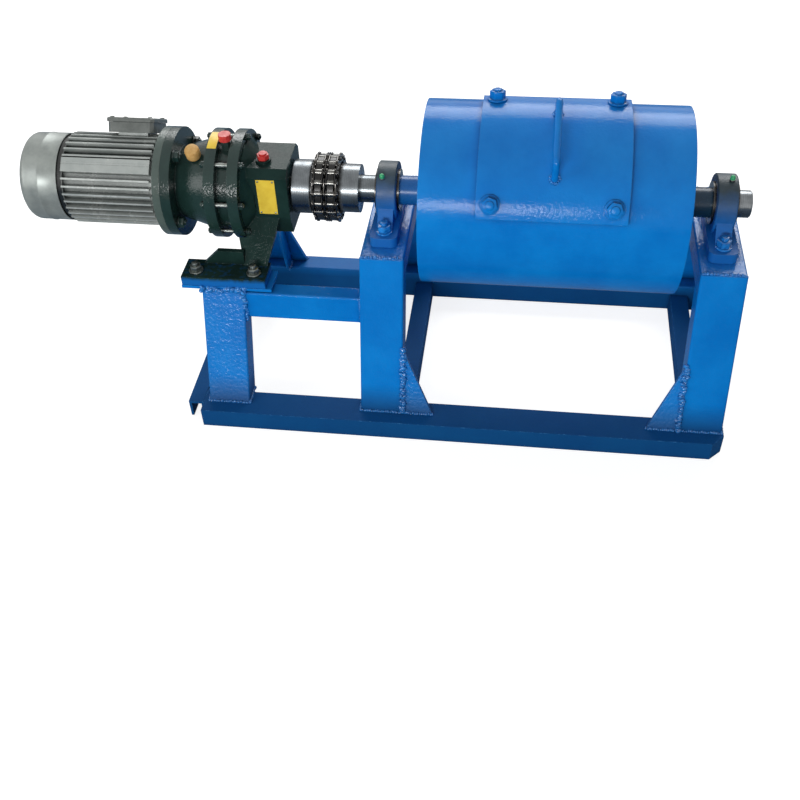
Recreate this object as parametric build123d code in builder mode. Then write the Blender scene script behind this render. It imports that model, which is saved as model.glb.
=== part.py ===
from build123d import *
from math import cos, hypot, pi, radians, sin
import os

os.makedirs("parts", exist_ok=True)

# shared frame, mm: +X along the shaft from motor to drum, -Y is the operator side, floor at Z = 0
axis_y = 14.5
axis_z = 391.0
seat_gap = 0.2
run_gap = 0.05
bearing_gap = 0.3

# drum
drum_left = 87.0
drum_right = 539.0
drum_radius = 164.0
drum_wall = 8.0
end_plate_thick = 12.0
end_plate_inset = 6.0
shaft_radius = 26.5
journal_radius = 25.0
tail_end = 660.0
tail_radius = 24.0
tail_step = 2.0
end_break = 2.0

# hatch in the drum wall, angles measured up from the operator side
hatch_mid_x = 310.5
lid_width = 251.0
lid_low_angle = 18.6
lid_high_angle = 107.0
lid_thick = 10.0
opening_margin = 45.0
opening_margin_angle = 16.0
handle_x = 312.0
handle_bar_radius = 6.0
handle_half_span = 21.0
handle_stand_off = 45.0

# bearings
bearing_mid_left = 18.5
bearing_mid_right = 613.0
bearing_height = 57.0
housing_radius = 52.0
housing_width = 36.0
foot_width = 50.0
foot_thick = 19.0
foot_bolt_spacing = 159.0
foot_bolt_hole = 17.0
foot_end_margin = 22.5
foot_half_length = foot_bolt_spacing / 2 + foot_end_margin
insert_radius = 38.0
insert_width = 44.0

# frame sections
channel_face = 80.0
channel_flange = 43.0
channel_wall = 5.0
base_height = 40.0
base_front_width = 60.0
base_rear_height = 63.0
base_rear_width = 44.0
front_rail_offset = 254.0
rear_rail_offset = 225.0
front_rail_y = axis_y - front_rail_offset
rear_rail_y = axis_y + rear_rail_offset
rail_left = -329.0
rail_right = 634.0
corner_cut = 22.0
leg_left_x = -318.0
leg_middle_x = -20.0
leg_right_x = 573.0
leg_foot_offset = 224.5
portal_top_offset = 139.0
portal_top_z = axis_z - bearing_height
bend_radius = 4.0
cross_height = 38.0
cross_wall = 5.0
cross_width = 36.0
left_cross_width = 30.0
left_cross_setback = 23.0
left_cross_front = front_rail_y + left_cross_setback
middle_cross_shift = 62.0
middle_cross_x = leg_middle_x + middle_cross_shift
right_cross_inset = 48.0
right_cross_x = rail_right - right_cross_inset
gusset_thick = 8.0
gusset_reach = 57.0
gusset_height = 131.0
left_gusset_reach = 33.0
left_gusset_height = 150.0
upper_rail_offset = 155.0
upper_rail_y = axis_y - upper_rail_offset
upper_rail_drop = 2.0
upper_rail_height = 57.0
upper_rail_width = 32.0

# gear unit
gear_height = 128.0
gear_foot_left = -354.0
gear_foot_length = 158.0
gear_foot_half = 150.0
gear_foot_depth = 56.0
gear_foot_thick = 19.0
gear_bolt_hole = 14.0
plate_thick = 6.0
left_top_z = axis_z - gear_height - plate_thick
gear_bolt_pitch = 109.0
gear_bolt_edge = 21.0
plate_reach = 11.0
plate_overhang = 1.0
plate_left = gear_foot_left - plate_overhang
plate_right = gear_foot_left + gear_foot_length + plate_reach
plate_inner = gear_foot_half - gear_foot_depth - plate_overhang
plate_outer = gear_foot_half + plate_overhang
left_top_offset = gear_foot_half
leg_of_case_left = -244.0
leg_of_case_right = -200.0
leg_head_left = -262.0
leg_head_right = -178.0
case_end = -158.0
case_half_width = 58.0
case_top = 62.0
case_corner = 13.0
case_leg_head = 33.0
case_low = 72.0
case_shoulder_radius = 86.0
case_shoulder = 20.0
case_leg_spread = 106.0
case_leg_inner = 76.0
case_rib_length = 76.0
case_rib_height = 28.0
case_rib_thick = 10.0
case_boss_x = -205.0
case_boss_side = 20.0
case_boss_radius = 14.0
case_boss_height = 5.0
case_plug_radius = 11.0
case_plug_height = 9.0
ring_right = -240.0
ring_flange = 20.0
ring_left = -303.0
ring_radius = 100.0
ring_core_radius = 84.0
ring_plug_x = (ring_left + ring_right) / 2
ring_plug_side = 16.0
ring_plug_radius = 11.5
ring_plug_height = 34.0
ring_plug_head = 12.0
ring_plug_sink = 6.0
motor_face = -383.0
input_flange_right = -365.0
neck_radius_small = 66.0
neck_radius_large = 84.0

# motor
motor_seam = -585.0
fan_end = -659.5
shield_left = -404.0
shield_flange = 14.0
motor_core_radius = 71.0
fin_radius = 84.0
fin_thick = 3.4
fin_count = 36
plate_pad_angle = 48.0
plate_pad_width = 26.0
fan_radius = 81.0
fan_shoulder = 15.0
box_left = -500.0
box_right = -414.0
box_half_width = 39.0
box_top = 112.0
box_lid_thick = 8.0
box_lid_lip = 2.0
box_seat = 85.0
box_lean = 30.0
box_corner = 6.0
box_neck_inset = 15.0

# roller chain coupling
teeth = 18
chain_pitch = 19.05
roller_radius = 5.95
pitch_radius = chain_pitch / 2 / sin(pi / teeth)
strand_pitch = 22.8
coupling_mid = -92.0
tooth_thick = 11.0
tooth_gap = 0.4
tooth_tip_radius = 59.5
left_hub_radius = 49.0
hub_neck_radius = 44.0
left_hub_face = -154.0
right_hub_radius = 44.0
right_hub_face = -33.0
output_radius = 17.5
output_start = -215.0
output_end = -97.0
drive_start = -78.0
shaft_inside = 8.0
pin_radius = 3.0
pin_length = 50.0
plate_wall = 2.4
plate_height = 16.5


def shaft_plane(x):
    return Plane(origin=(x, axis_y, axis_z), x_dir=(0, 1, 0), z_dir=(1, 0, 0))


def side_plane(x):
    return Plane(origin=(x, 0, 0), x_dir=(0, 1, 0), z_dir=(1, 0, 0))


# profiles of turned pieces: local x along the shaft, local y the radius
turning_plane = Plane(origin=(0, axis_y, axis_z), x_dir=(1, 0, 0), z_dir=(0, -1, 0))
shaft_axis = Axis((0, axis_y, axis_z), (1, 0, 0))


def save(piece, name):
    piece.part.label = name
    export_step(piece.part, "parts/" + name + ".step")


def rear_or_front(offset, side):
    return axis_y + side * offset


# base rails: the front one lies with its back up, the rear one stands on edge
with BuildPart() as front_base_rail:
    with BuildSketch(Plane.XY):
        with BuildLine():
            Polyline(
                (rail_left, front_rail_y),
                (rail_right, front_rail_y),
                (rail_right + corner_cut, front_rail_y + corner_cut),
                (rail_right + corner_cut, front_rail_y + base_front_width),
                (rail_left, front_rail_y + base_front_width),
                close=True,
            )
        make_face()
    extrude(amount=base_height)
    with BuildSketch(Plane.XY):
        with BuildLine():
            Polyline(
                (rail_left, front_rail_y + channel_wall),
                (rail_right - channel_wall, front_rail_y + channel_wall),
                (rail_right + corner_cut, front_rail_y + corner_cut + channel_wall),
                (rail_right + corner_cut, front_rail_y + base_front_width - channel_wall),
                (rail_left, front_rail_y + base_front_width - channel_wall),
                close=True,
            )
        make_face()
    extrude(amount=base_height - channel_wall, mode=Mode.SUBTRACT)
save(front_base_rail, "front_base_rail")

with BuildPart() as rear_base_rail:
    with BuildSketch(side_plane(rail_left)):
        with BuildLine():
            Polyline(
                (rear_rail_y - base_rear_width, 0),
                (rear_rail_y, 0),
                (rear_rail_y, channel_wall),
                (rear_rail_y - base_rear_width + channel_wall, channel_wall),
                (rear_rail_y - base_rear_width + channel_wall, base_rear_height - channel_wall),
                (rear_rail_y, base_rear_height - channel_wall),
                (rear_rail_y, base_rear_height),
                (rear_rail_y - base_rear_width, base_rear_height),
                close=True,
            )
        make_face()
    extrude(amount=rail_right + corner_cut - rail_left)
    back_edges = rear_base_rail.edges().filter_by(Axis.X).group_by(Axis.Y)[0]
    fillet(back_edges, bend_radius)
save(rear_base_rail, "rear_base_rail")


def cross_member(name, x_low, x_high, y_low, y_high):
    with BuildPart() as member:
        with BuildSketch(Plane((0, y_low, 0), x_dir=(1, 0, 0), z_dir=(0, 1, 0))):
            with BuildLine():
                Polyline(
                    (x_low, -base_height),
                    (x_high, -base_height),
                    (x_high, -base_height + cross_height),
                    (x_high - cross_wall, -base_height + cross_height),
                    (x_high - cross_wall, -base_height + cross_wall),
                    (x_low + cross_wall, -base_height + cross_wall),
                    (x_low + cross_wall, -base_height + cross_height),
                    (x_low, -base_height + cross_height),
                    close=True,
                )
            make_face()
        extrude(amount=y_high - y_low)
    save(member, name)
    return member


inner_front = front_rail_y + base_front_width + seat_gap
inner_rear = rear_rail_y - base_rear_width - seat_gap
left_cross_member = cross_member(
    "left_cross_member", rail_left - left_cross_width, rail_left - seat_gap, left_cross_front, rear_rail_y
)
middle_cross_member = cross_member(
    "middle_cross_member", middle_cross_x, middle_cross_x + cross_width, inner_front, inner_rear
)
right_cross_member = cross_member(
    "right_cross_member", right_cross_x, right_cross_x + cross_width, inner_front, inner_rear
)


def leg(name, x_low, side, top_offset, top_z, foot_z, flange_top):
    slope = (leg_foot_offset - top_offset) / (top_z - base_height)
    foot_offset = top_offset + slope * (top_z - foot_z)
    across = hypot(1, slope)

    def strip(depth, z_high):
        high_offset = top_offset + slope * (top_z - z_high)
        return [
            (rear_or_front(high_offset, side), z_high),
            (rear_or_front(foot_offset, side), foot_z),
            (rear_or_front(foot_offset - depth * across, side), foot_z),
            (rear_or_front(high_offset - depth * across, side), z_high),
        ]

    with BuildPart() as post:
        with BuildSketch(side_plane(x_low)):
            with BuildLine():
                Polyline(*strip(channel_wall, top_z), close=True)
            make_face()
        extrude(amount=channel_face)
        with BuildSketch(side_plane(x_low), side_plane(x_low + channel_face - channel_wall)):
            with BuildLine():
                Polyline(*strip(channel_flange, flange_top), close=True)
            make_face()
        extrude(amount=channel_wall)
        middle_y = rear_or_front((top_offset + foot_offset) / 2, side)
        web_middle = (x_low + channel_face / 2, middle_y, (top_z + foot_z) / 2)
        web_face = post.faces().sort_by_distance(web_middle)[0]
        long_edges = web_face.edges().filter_by(Axis.X, reverse=True)
        fillet(long_edges, bend_radius)
    save(post, name)
    return post


front_foot = base_height + seat_gap
rear_foot = base_rear_height + seat_gap
under_beam = portal_top_z - channel_flange - seat_gap
portal = (portal_top_offset, portal_top_z)
left_frame = (left_top_offset, left_top_z)
leg("front_left_leg", leg_left_x, -1, *left_frame, front_foot, left_top_z)
leg("rear_left_leg", leg_left_x, 1, *left_frame, rear_foot, left_top_z)
leg("front_middle_leg", leg_middle_x, -1, *portal, front_foot, under_beam)
leg("rear_middle_leg", leg_middle_x, 1, *portal, rear_foot, under_beam)
leg("front_right_leg", leg_right_x, -1, *portal, front_foot, under_beam)
leg("rear_right_leg", leg_right_x, 1, *portal, rear_foot, under_beam)


def bearing_beam(name, x_low):
    slope = (leg_foot_offset - portal_top_offset) / (portal_top_z - base_height)
    half_top = portal_top_offset - channel_wall * hypot(1, slope) - seat_gap

    def outline(z_low):
        half = half_top + slope * (portal_top_z - z_low)
        return [
            (axis_y - half_top, portal_top_z),
            (axis_y - half, z_low),
            (axis_y + half, z_low),
            (axis_y + half_top, portal_top_z),
        ]

    with BuildPart() as beam:
        with BuildSketch(side_plane(x_low)):
            with BuildLine():
                Polyline(*outline(portal_top_z - channel_wall), close=True)
            make_face()
        extrude(amount=channel_face)
        with BuildSketch(side_plane(x_low), side_plane(x_low + channel_face - channel_wall)):
            with BuildLine():
                Polyline(*outline(portal_top_z - channel_flange), close=True)
            make_face()
        extrude(amount=channel_wall)
        top_edges = beam.faces().sort_by(Axis.Z)[-1].edges().filter_by(Axis.Y)
        fillet(top_edges, bend_radius)
    save(beam, name)
    return beam


middle_bearing_beam = bearing_beam("middle_bearing_beam", leg_middle_x)
right_bearing_beam = bearing_beam("right_bearing_beam", leg_right_x)

# upper rail between the left and middle front legs, a channel with its back to the operator
upper_rail_top = left_top_z - upper_rail_drop
with BuildPart() as front_upper_rail:
    with BuildSketch(side_plane(leg_left_x + channel_face + seat_gap)):
        with BuildLine():
            Polyline(
                (upper_rail_y, upper_rail_top),
                (upper_rail_y, upper_rail_top - upper_rail_height),
                (upper_rail_y + upper_rail_width, upper_rail_top - upper_rail_height),
                (upper_rail_y + upper_rail_width, upper_rail_top - upper_rail_height + channel_wall),
                (upper_rail_y + channel_wall, upper_rail_top - upper_rail_height + channel_wall),
                (upper_rail_y + channel_wall, upper_rail_top - channel_wall),
                (upper_rail_y + upper_rail_width, upper_rail_top - channel_wall),
                (upper_rail_y + upper_rail_width, upper_rail_top),
                close=True,
            )
        make_face()
    extrude(amount=leg_middle_x - leg_left_x - channel_face - 2 * seat_gap)
    fillet(front_upper_rail.edges().filter_by(Axis.X).group_by(Axis.Y)[0], bend_radius)
save(front_upper_rail, "front_upper_rail")


def gusset_plane(side, top_offset, top_z, foot_z):
    slope = (leg_foot_offset - top_offset) / (top_z - base_height)
    offset = top_offset + slope * (top_z - foot_z)
    up = Vector(0, -side * slope, 1).normalized()
    foot = (0, rear_or_front(offset, side), foot_z)
    return Plane(origin=foot, x_dir=(1, 0, 0), z_dir=Vector(1, 0, 0).cross(up))


def gusset(name, side, top_offset, top_z, foot_z, leg_x, reach, height):
    with BuildPart() as plate:
        with BuildSketch(gusset_plane(side, top_offset, top_z, foot_z)):
            with BuildLine():
                Polyline((leg_x, 0), (leg_x + reach, 0), (leg_x, height), close=True)
            make_face()
        extrude(amount=side * gusset_thick)
        with Locations((leg_x, rear_or_front(leg_foot_offset, side), foot_z)):
            Box(
                4 * abs(reach), 2 * channel_face, base_height,
                align=(Align.CENTER, Align.CENTER, Align.MAX), mode=Mode.SUBTRACT,
            )
    save(plate, name)
    return plate


middle_gusset_x = leg_middle_x + channel_face + seat_gap
right_gusset_x = leg_right_x - seat_gap
left_gusset_x = leg_left_x + channel_face + seat_gap
gusset("front_middle_gusset", -1, *portal, front_foot, middle_gusset_x, gusset_reach, gusset_height)
gusset("front_right_gusset", -1, *portal, front_foot, right_gusset_x, -gusset_reach, gusset_height)
gusset("rear_middle_gusset", 1, *portal, rear_foot, middle_gusset_x, gusset_reach, gusset_height)
gusset("rear_right_gusset", 1, *portal, rear_foot, right_gusset_x, -gusset_reach, gusset_height)
gusset("rear_left_gusset", 1, *left_frame, rear_foot, left_gusset_x, left_gusset_reach, left_gusset_height)

# plates under the gear unit's feet
with BuildPart() as gear_plates:
    for side in (-1, 1):
        plate_y = rear_or_front((plate_inner + plate_outer) / 2, side)
        plate_mid_x = (plate_left + plate_right) / 2
        with Locations((plate_mid_x, plate_y, axis_z - gear_height - plate_thick / 2)):
            Box(plate_right - plate_left, plate_outer - plate_inner, plate_thick)
save(gear_plates, "gear_mounting_plates")


def bearing_housing(name, x_mid):
    with BuildPart() as housing:
        with BuildSketch(shaft_plane(x_mid)):
            Circle(housing_radius)
        extrude(amount=housing_width / 2, both=True)
        chamfer(housing.edges().filter_by(GeomType.CIRCLE), 2)
        with BuildSketch(shaft_plane(x_mid)):
            with BuildLine():
                Polyline(
                    (-housing_radius * 0.98, -8),
                    (-74, foot_thick - bearing_height),
                    (-74, -bearing_height + 6),
                    (74, -bearing_height + 6),
                    (74, foot_thick - bearing_height),
                    (housing_radius * 0.98, -8),
                    close=True,
                )
            make_face()
        extrude(amount=housing_width / 2 - 4, both=True)
        with Locations((x_mid, axis_y, axis_z - bearing_height + foot_thick / 2 + seat_gap / 2)):
            Box(foot_width, 2 * foot_half_length, foot_thick - seat_gap)
        fillet(housing.edges().filter_by(Axis.Z).sort_by(Axis.Y)[:2], 12)
        fillet(housing.edges().filter_by(Axis.Z).sort_by(Axis.Y)[-2:], 12)
        with BuildSketch(shaft_plane(x_mid)):
            Circle(insert_radius + bearing_gap)
        extrude(amount=foot_width, both=True, mode=Mode.SUBTRACT)
        with Locations(Plane((x_mid, axis_y, axis_z - bearing_height + foot_thick))):
            with GridLocations(1, foot_bolt_spacing, 1, 2):
                Hole(foot_bolt_hole / 2)
    save(housing, name)
    return housing


left_bearing_housing = bearing_housing("left_bearing_housing", bearing_mid_left)
right_bearing_housing = bearing_housing("right_bearing_housing", bearing_mid_right)


def bearing_ring(name, x_mid):
    with BuildPart() as ring:
        with BuildSketch(shaft_plane(x_mid)):
            Circle(insert_radius)
            Circle(journal_radius + seat_gap / 2, mode=Mode.SUBTRACT)
        extrude(amount=insert_width / 2, both=True)
    save(ring, name)
    return ring


left_bearing_ring = bearing_ring("left_bearing_ring", bearing_mid_left)
right_bearing_ring = bearing_ring("right_bearing_ring", bearing_mid_right)


# drum: rolled shell with a cut-out under the lid
def at_angle(radius, angle):
    return (-radius * cos(radians(angle)), radius * sin(radians(angle)))


lid_middle_angle = (lid_low_angle + lid_high_angle) / 2
opening_low = lid_low_angle + opening_margin_angle
opening_high = lid_high_angle - opening_margin_angle

with BuildPart() as drum_shell:
    with BuildSketch(shaft_plane(drum_left)):
        Circle(drum_radius)
        Circle(drum_radius - drum_wall, mode=Mode.SUBTRACT)
    extrude(amount=drum_right - drum_left)
    with BuildSketch(shaft_plane(hatch_mid_x)):
        with BuildLine():
            Polyline(
                (0, 0),
                at_angle(2 * drum_radius, opening_low),
                at_angle(2 * drum_radius, lid_middle_angle),
                at_angle(2 * drum_radius, opening_high),
                close=True,
            )
        make_face()
    extrude(amount=lid_width / 2 - opening_margin, both=True, mode=Mode.SUBTRACT)
save(drum_shell, "drum_shell")


def end_plate(name, x_low):
    with BuildPart() as plate:
        with BuildSketch(shaft_plane(x_low)):
            Circle(drum_radius - drum_wall - seat_gap)
            Circle(shaft_radius + seat_gap, mode=Mode.SUBTRACT)
        extrude(amount=end_plate_thick)
    save(plate, name)
    return plate


left_end_plate = end_plate("left_end_plate", drum_left + end_plate_inset)
right_end_plate = end_plate("right_end_plate", drum_right - end_plate_inset - end_plate_thick)

with BuildPart() as hatch_lid:
    with BuildSketch(shaft_plane(hatch_mid_x)):
        with BuildLine():
            low_out = at_angle(drum_radius + lid_thick, lid_low_angle)
            high_out = at_angle(drum_radius + lid_thick, lid_high_angle)
            low_in = at_angle(drum_radius + seat_gap, lid_low_angle)
            high_in = at_angle(drum_radius + seat_gap, lid_high_angle)
            ThreePointArc(low_out, at_angle(drum_radius + lid_thick, lid_middle_angle), high_out)
            Line(high_out, high_in)
            ThreePointArc(high_in, at_angle(drum_radius + seat_gap, lid_middle_angle), low_in)
            Line(low_in, low_out)
        make_face()
    extrude(amount=lid_width / 2, both=True)
save(hatch_lid, "hatch_lid")

lid_middle = radians(lid_middle_angle)
out_dir = Vector(0, -cos(lid_middle), sin(lid_middle))
up_dir = Vector(0, sin(lid_middle), cos(lid_middle))
foot_radius = drum_radius + lid_thick
half_span = foot_radius * sin(radians(handle_half_span))
foot_out = foot_radius * cos(radians(handle_half_span))
handle_origin = Vector(handle_x, axis_y, axis_z)
handle_plane = Plane(origin=handle_origin, x_dir=up_dir, z_dir=up_dir.cross(out_dir))
with BuildPart() as hatch_handle:
    with BuildLine(handle_plane) as bar_line:
        FilletPolyline(
            (-half_span, foot_out - 4),
            (-half_span, foot_out + handle_stand_off),
            (half_span, foot_out + handle_stand_off),
            (half_span, foot_out - 4),
            radius=12,
        )
    with BuildSketch(Plane(origin=bar_line.line @ 0, z_dir=bar_line.line % 0)):
        RegularPolygon(handle_bar_radius, 12)
    sweep(transition=Transition.ROUND)
    with BuildSketch(shaft_plane(handle_x)):
        Circle(foot_radius + seat_gap / 2)
    extrude(amount=3 * handle_bar_radius, both=True, mode=Mode.SUBTRACT)
save(hatch_handle, "hatch_handle")

# shafts
with BuildPart() as drive_shaft:
    with BuildSketch(shaft_plane(drive_start)):
        Circle(journal_radius)
    extrude(amount=bearing_mid_left + insert_width / 2 - drive_start)
    with BuildSketch(shaft_plane(bearing_mid_left + insert_width / 2)):
        Circle(shaft_radius)
    drive_end = drum_left + end_plate_inset + end_plate_thick + shaft_inside
    extrude(amount=drive_end - bearing_mid_left - insert_width / 2)
save(drive_shaft, "drive_shaft")

with BuildPart() as tail_shaft:
    tail_start = drum_right - end_plate_inset - end_plate_thick - shaft_inside
    with BuildSketch(shaft_plane(tail_start)):
        Circle(shaft_radius)
    extrude(amount=bearing_mid_right - insert_width / 2 - tail_start)
    with BuildSketch(shaft_plane(bearing_mid_right - insert_width / 2)):
        Circle(journal_radius)
    extrude(amount=insert_width + tail_step)
    with BuildSketch(shaft_plane(bearing_mid_right + insert_width / 2 + tail_step)):
        Circle(tail_radius)
    extrude(amount=tail_end - bearing_mid_right - insert_width / 2 - tail_step)
    chamfer(tail_shaft.faces().sort_by(Axis.X)[-1].edges(), end_break)
save(tail_shaft, "tail_shaft")


# coupling: two toothed hubs joined by one closed two-strand roller chain
def toothed_hub(name, disc_x, hub_face, hub_radius, bore):
    with BuildPart() as hub:
        with BuildSketch(shaft_plane(disc_x - tooth_thick / 2)):
            Circle(tooth_tip_radius)
            with PolarLocations(pitch_radius, teeth):
                RegularPolygon(roller_radius + tooth_gap, 8, mode=Mode.SUBTRACT)
        extrude(amount=tooth_thick)
        toward = 1 if hub_face > disc_x else -1
        with BuildSketch(shaft_plane(disc_x)):
            Circle(hub_neck_radius)
        extrude(amount=hub_face - disc_x)
        with BuildSketch(shaft_plane(coupling_mid + toward * (pin_length / 2 + 4))):
            Circle(hub_radius)
        extrude(amount=hub_face - coupling_mid - toward * (pin_length / 2 + 4))
        with BuildSketch(shaft_plane(disc_x)):
            Circle(bore + seat_gap / 2)
        extrude(amount=120, both=True, mode=Mode.SUBTRACT)
    save(hub, name)
    return hub


left_disc_x = coupling_mid - strand_pitch / 2
right_disc_x = coupling_mid + strand_pitch / 2
toothed_hub("gear_side_hub", left_disc_x, left_hub_face, left_hub_radius, output_radius)
toothed_hub("drum_side_hub", right_disc_x, right_hub_face, right_hub_radius, journal_radius)

inner_width = tooth_thick + 1.6
link_angle = 360.0 / teeth
mid_link_radius = pitch_radius * cos(radians(link_angle / 2))
outer_gap = inner_width / 2 + plate_wall
inner_places = []
for strand in (-strand_pitch / 2, strand_pitch / 2):
    inner_places.append(coupling_mid + strand - outer_gap)
    inner_places.append(coupling_mid + strand + inner_width / 2)
outer_places = [
    coupling_mid - strand_pitch / 2 - outer_gap - plate_wall,
    coupling_mid - plate_wall / 2,
    coupling_mid + strand_pitch / 2 + outer_gap,
]
link_places = [(place, link_angle / 2) for place in inner_places]
link_places += [(place, link_angle * 1.5) for place in outer_places]
half_link = chain_pitch / 2 + plate_height / 2
half_height = plate_height / 2
corner = plate_height * 0.3

with BuildPart() as coupling_chain:
    for strand in (-strand_pitch / 2, strand_pitch / 2):
        with BuildSketch(shaft_plane(coupling_mid + strand)):
            with PolarLocations(pitch_radius, teeth):
                RegularPolygon(roller_radius, 8)
        extrude(amount=inner_width / 2 + 0.1, both=True)
    for place, turn in link_places:
        with BuildSketch(shaft_plane(place)):
            with PolarLocations(mid_link_radius, teeth // 2, start_angle=turn):
                Polygon(
                    (-half_height, -half_link + corner),
                    (-half_height + corner, -half_link),
                    (half_height - corner, -half_link),
                    (half_height, -half_link + corner),
                    (half_height, half_link - corner),
                    (half_height - corner, half_link),
                    (-half_height + corner, half_link),
                    (-half_height, half_link - corner),
                    align=None,
                )
        extrude(amount=plate_wall)
    with BuildSketch(shaft_plane(coupling_mid)):
        with PolarLocations(pitch_radius, teeth):
            RegularPolygon(pin_radius, 6)
    extrude(amount=pin_length / 2, both=True)
save(coupling_chain, "coupling_chain")

with BuildPart() as output_shaft:
    with BuildSketch(shaft_plane(output_start)):
        Circle(output_radius)
    extrude(amount=output_end - output_start)
save(output_shaft, "gear_output_shaft")

# gear unit
pad_top = gear_foot_thick - gear_height
pad_z = axis_z + pad_top
with BuildPart() as gear_case:
    with BuildSketch(shaft_plane(leg_head_left)):
        with BuildLine():
            Polyline(
                (-case_half_width, -case_leg_head),
                (-case_leg_spread, pad_top),
                (-case_leg_inner, pad_top),
                (case_corner - case_half_width, -case_low),
                (case_half_width - case_corner, -case_low),
                (case_leg_inner, pad_top),
                (case_leg_spread, pad_top),
                (case_half_width, -case_leg_head),
                close=True,
            )
        make_face()
    extrude(amount=leg_head_right - leg_head_left)
    with BuildSketch(Plane.XZ.offset(-axis_y)):
        with BuildLine():
            Polyline(
                (leg_head_left, axis_z - case_leg_head),
                (leg_of_case_left, pad_z),
                (leg_of_case_right, pad_z),
                (leg_head_right, axis_z - case_leg_head),
                close=True,
            )
        make_face()
    extrude(amount=case_leg_spread, both=True, mode=Mode.INTERSECT)
    with BuildSketch(shaft_plane(ring_right + seat_gap)):
        with BuildLine():
            Polyline(
                (case_corner - case_half_width, case_top),
                (-case_half_width, case_top - case_corner),
                (-case_half_width, -case_leg_head),
                (case_corner - case_half_width, -case_low),
                (case_half_width - case_corner, -case_low),
                (case_half_width, -case_leg_head),
                (case_half_width, case_top - case_corner),
                (case_half_width - case_corner, case_top),
                close=True,
            )
        make_face()
    extrude(amount=case_end - ring_right - seat_gap)
    with BuildSketch(turning_plane):
        with BuildLine():
            Polyline(
                (ring_right + seat_gap, 0),
                (ring_right + seat_gap, case_shoulder_radius),
                (ring_right + case_shoulder, case_top),
                (ring_right + case_shoulder, 0),
                close=True,
            )
        make_face()
    revolve(axis=shaft_axis)
    with BuildSketch(shaft_plane(ring_right + seat_gap)):
        Circle(ring_radius + 2)
    extrude(amount=ring_left - ring_right, mode=Mode.SUBTRACT)
    foot_middle = gear_foot_half - gear_foot_depth / 2
    foot_x = gear_foot_left + gear_foot_length / 2
    for side in (-1, 1):
        with Locations((foot_x, axis_y + side * foot_middle, pad_z - gear_foot_thick / 2)):
            Box(gear_foot_length, gear_foot_depth, gear_foot_thick)
        rib_y = axis_y + side * (gear_foot_half - gear_foot_depth + case_rib_thick / 2)
        with BuildSketch(Plane.XZ.offset(-rib_y)):
            with BuildLine():
                Polyline(
                    (leg_of_case_left - case_rib_length, pad_z),
                    (leg_of_case_left - case_rib_length + case_rib_height, pad_z + case_rib_height),
                    (leg_of_case_left + 1, pad_z + case_rib_height),
                    (leg_of_case_left + 1, pad_z - 1),
                    (leg_of_case_left - case_rib_length, pad_z - 1),
                    close=True,
                )
            make_face()
        extrude(amount=case_rib_thick / 2, both=True)
    with Locations(Plane((foot_x, axis_y, pad_z))):
        with GridLocations(gear_bolt_pitch, 2 * (gear_foot_half - gear_bolt_edge), 2, 2):
            Hole(gear_bolt_hole / 2, depth=gear_foot_thick)
    with BuildSketch(Plane((case_boss_x, axis_y - case_boss_side, axis_z + case_top))):
        Circle(case_boss_radius)
    extrude(amount=case_boss_height)
    with BuildSketch(shaft_plane(output_start)):
        Circle(output_radius + run_gap)
    extrude(amount=case_end - output_start, mode=Mode.SUBTRACT)
save(gear_case, "gear_case")

with BuildPart() as gear_ring:
    with BuildSketch(shaft_plane(ring_left)):
        Circle(ring_core_radius)
    extrude(amount=ring_right - seat_gap - ring_left)
    with BuildSketch(shaft_plane(ring_left)):
        Circle(ring_radius)
    extrude(amount=ring_flange)
    with BuildSketch(shaft_plane(ring_right - ring_flange)):
        Circle(ring_radius)
    extrude(amount=ring_flange - seat_gap)
save(gear_ring, "gear_ring_housing")

with BuildPart() as input_neck:
    with BuildSketch(turning_plane):
        with BuildLine():
            Polyline(
                (motor_face + seat_gap, 0),
                (motor_face + seat_gap, ring_radius),
                (input_flange_right, ring_radius),
                (input_flange_right, neck_radius_small),
                (ring_left - seat_gap, neck_radius_large),
                (ring_left - seat_gap, 0),
                close=True,
            )
        make_face()
    revolve(axis=shaft_axis)
save(input_neck, "gear_input_neck")


with BuildPart() as ring_plug:
    stem_z = axis_z + ring_core_radius - ring_plug_sink
    with BuildSketch(Plane((ring_plug_x, axis_y - ring_plug_side, stem_z))):
        RegularPolygon(ring_plug_radius * 0.75, 8)
    extrude(amount=ring_plug_height)
    head_z = axis_z + ring_core_radius + ring_plug_height - ring_plug_sink - ring_plug_head
    with BuildSketch(Plane((ring_plug_x, axis_y - ring_plug_side, head_z))):
        RegularPolygon(ring_plug_radius, 12)
    extrude(amount=ring_plug_head)
    with BuildSketch(shaft_plane(ring_plug_x)):
        Circle(ring_core_radius + seat_gap)
    extrude(amount=3 * ring_plug_radius, both=True, mode=Mode.SUBTRACT)
save(ring_plug, "ring_oil_plug")

plug_seat = axis_z + case_top + case_boss_height + seat_gap
with BuildPart() as case_plug:
    with BuildSketch(Plane((case_boss_x, axis_y - case_boss_side, plug_seat))):
        RegularPolygon(case_plug_radius, 6)
    extrude(amount=case_plug_height)
    with BuildSketch(Plane((case_boss_x, axis_y - case_boss_side, plug_seat + case_plug_height))):
        Circle(case_plug_radius * 0.65)
    extrude(amount=case_plug_height / 3)
save(case_plug, "case_oil_plug")

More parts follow.
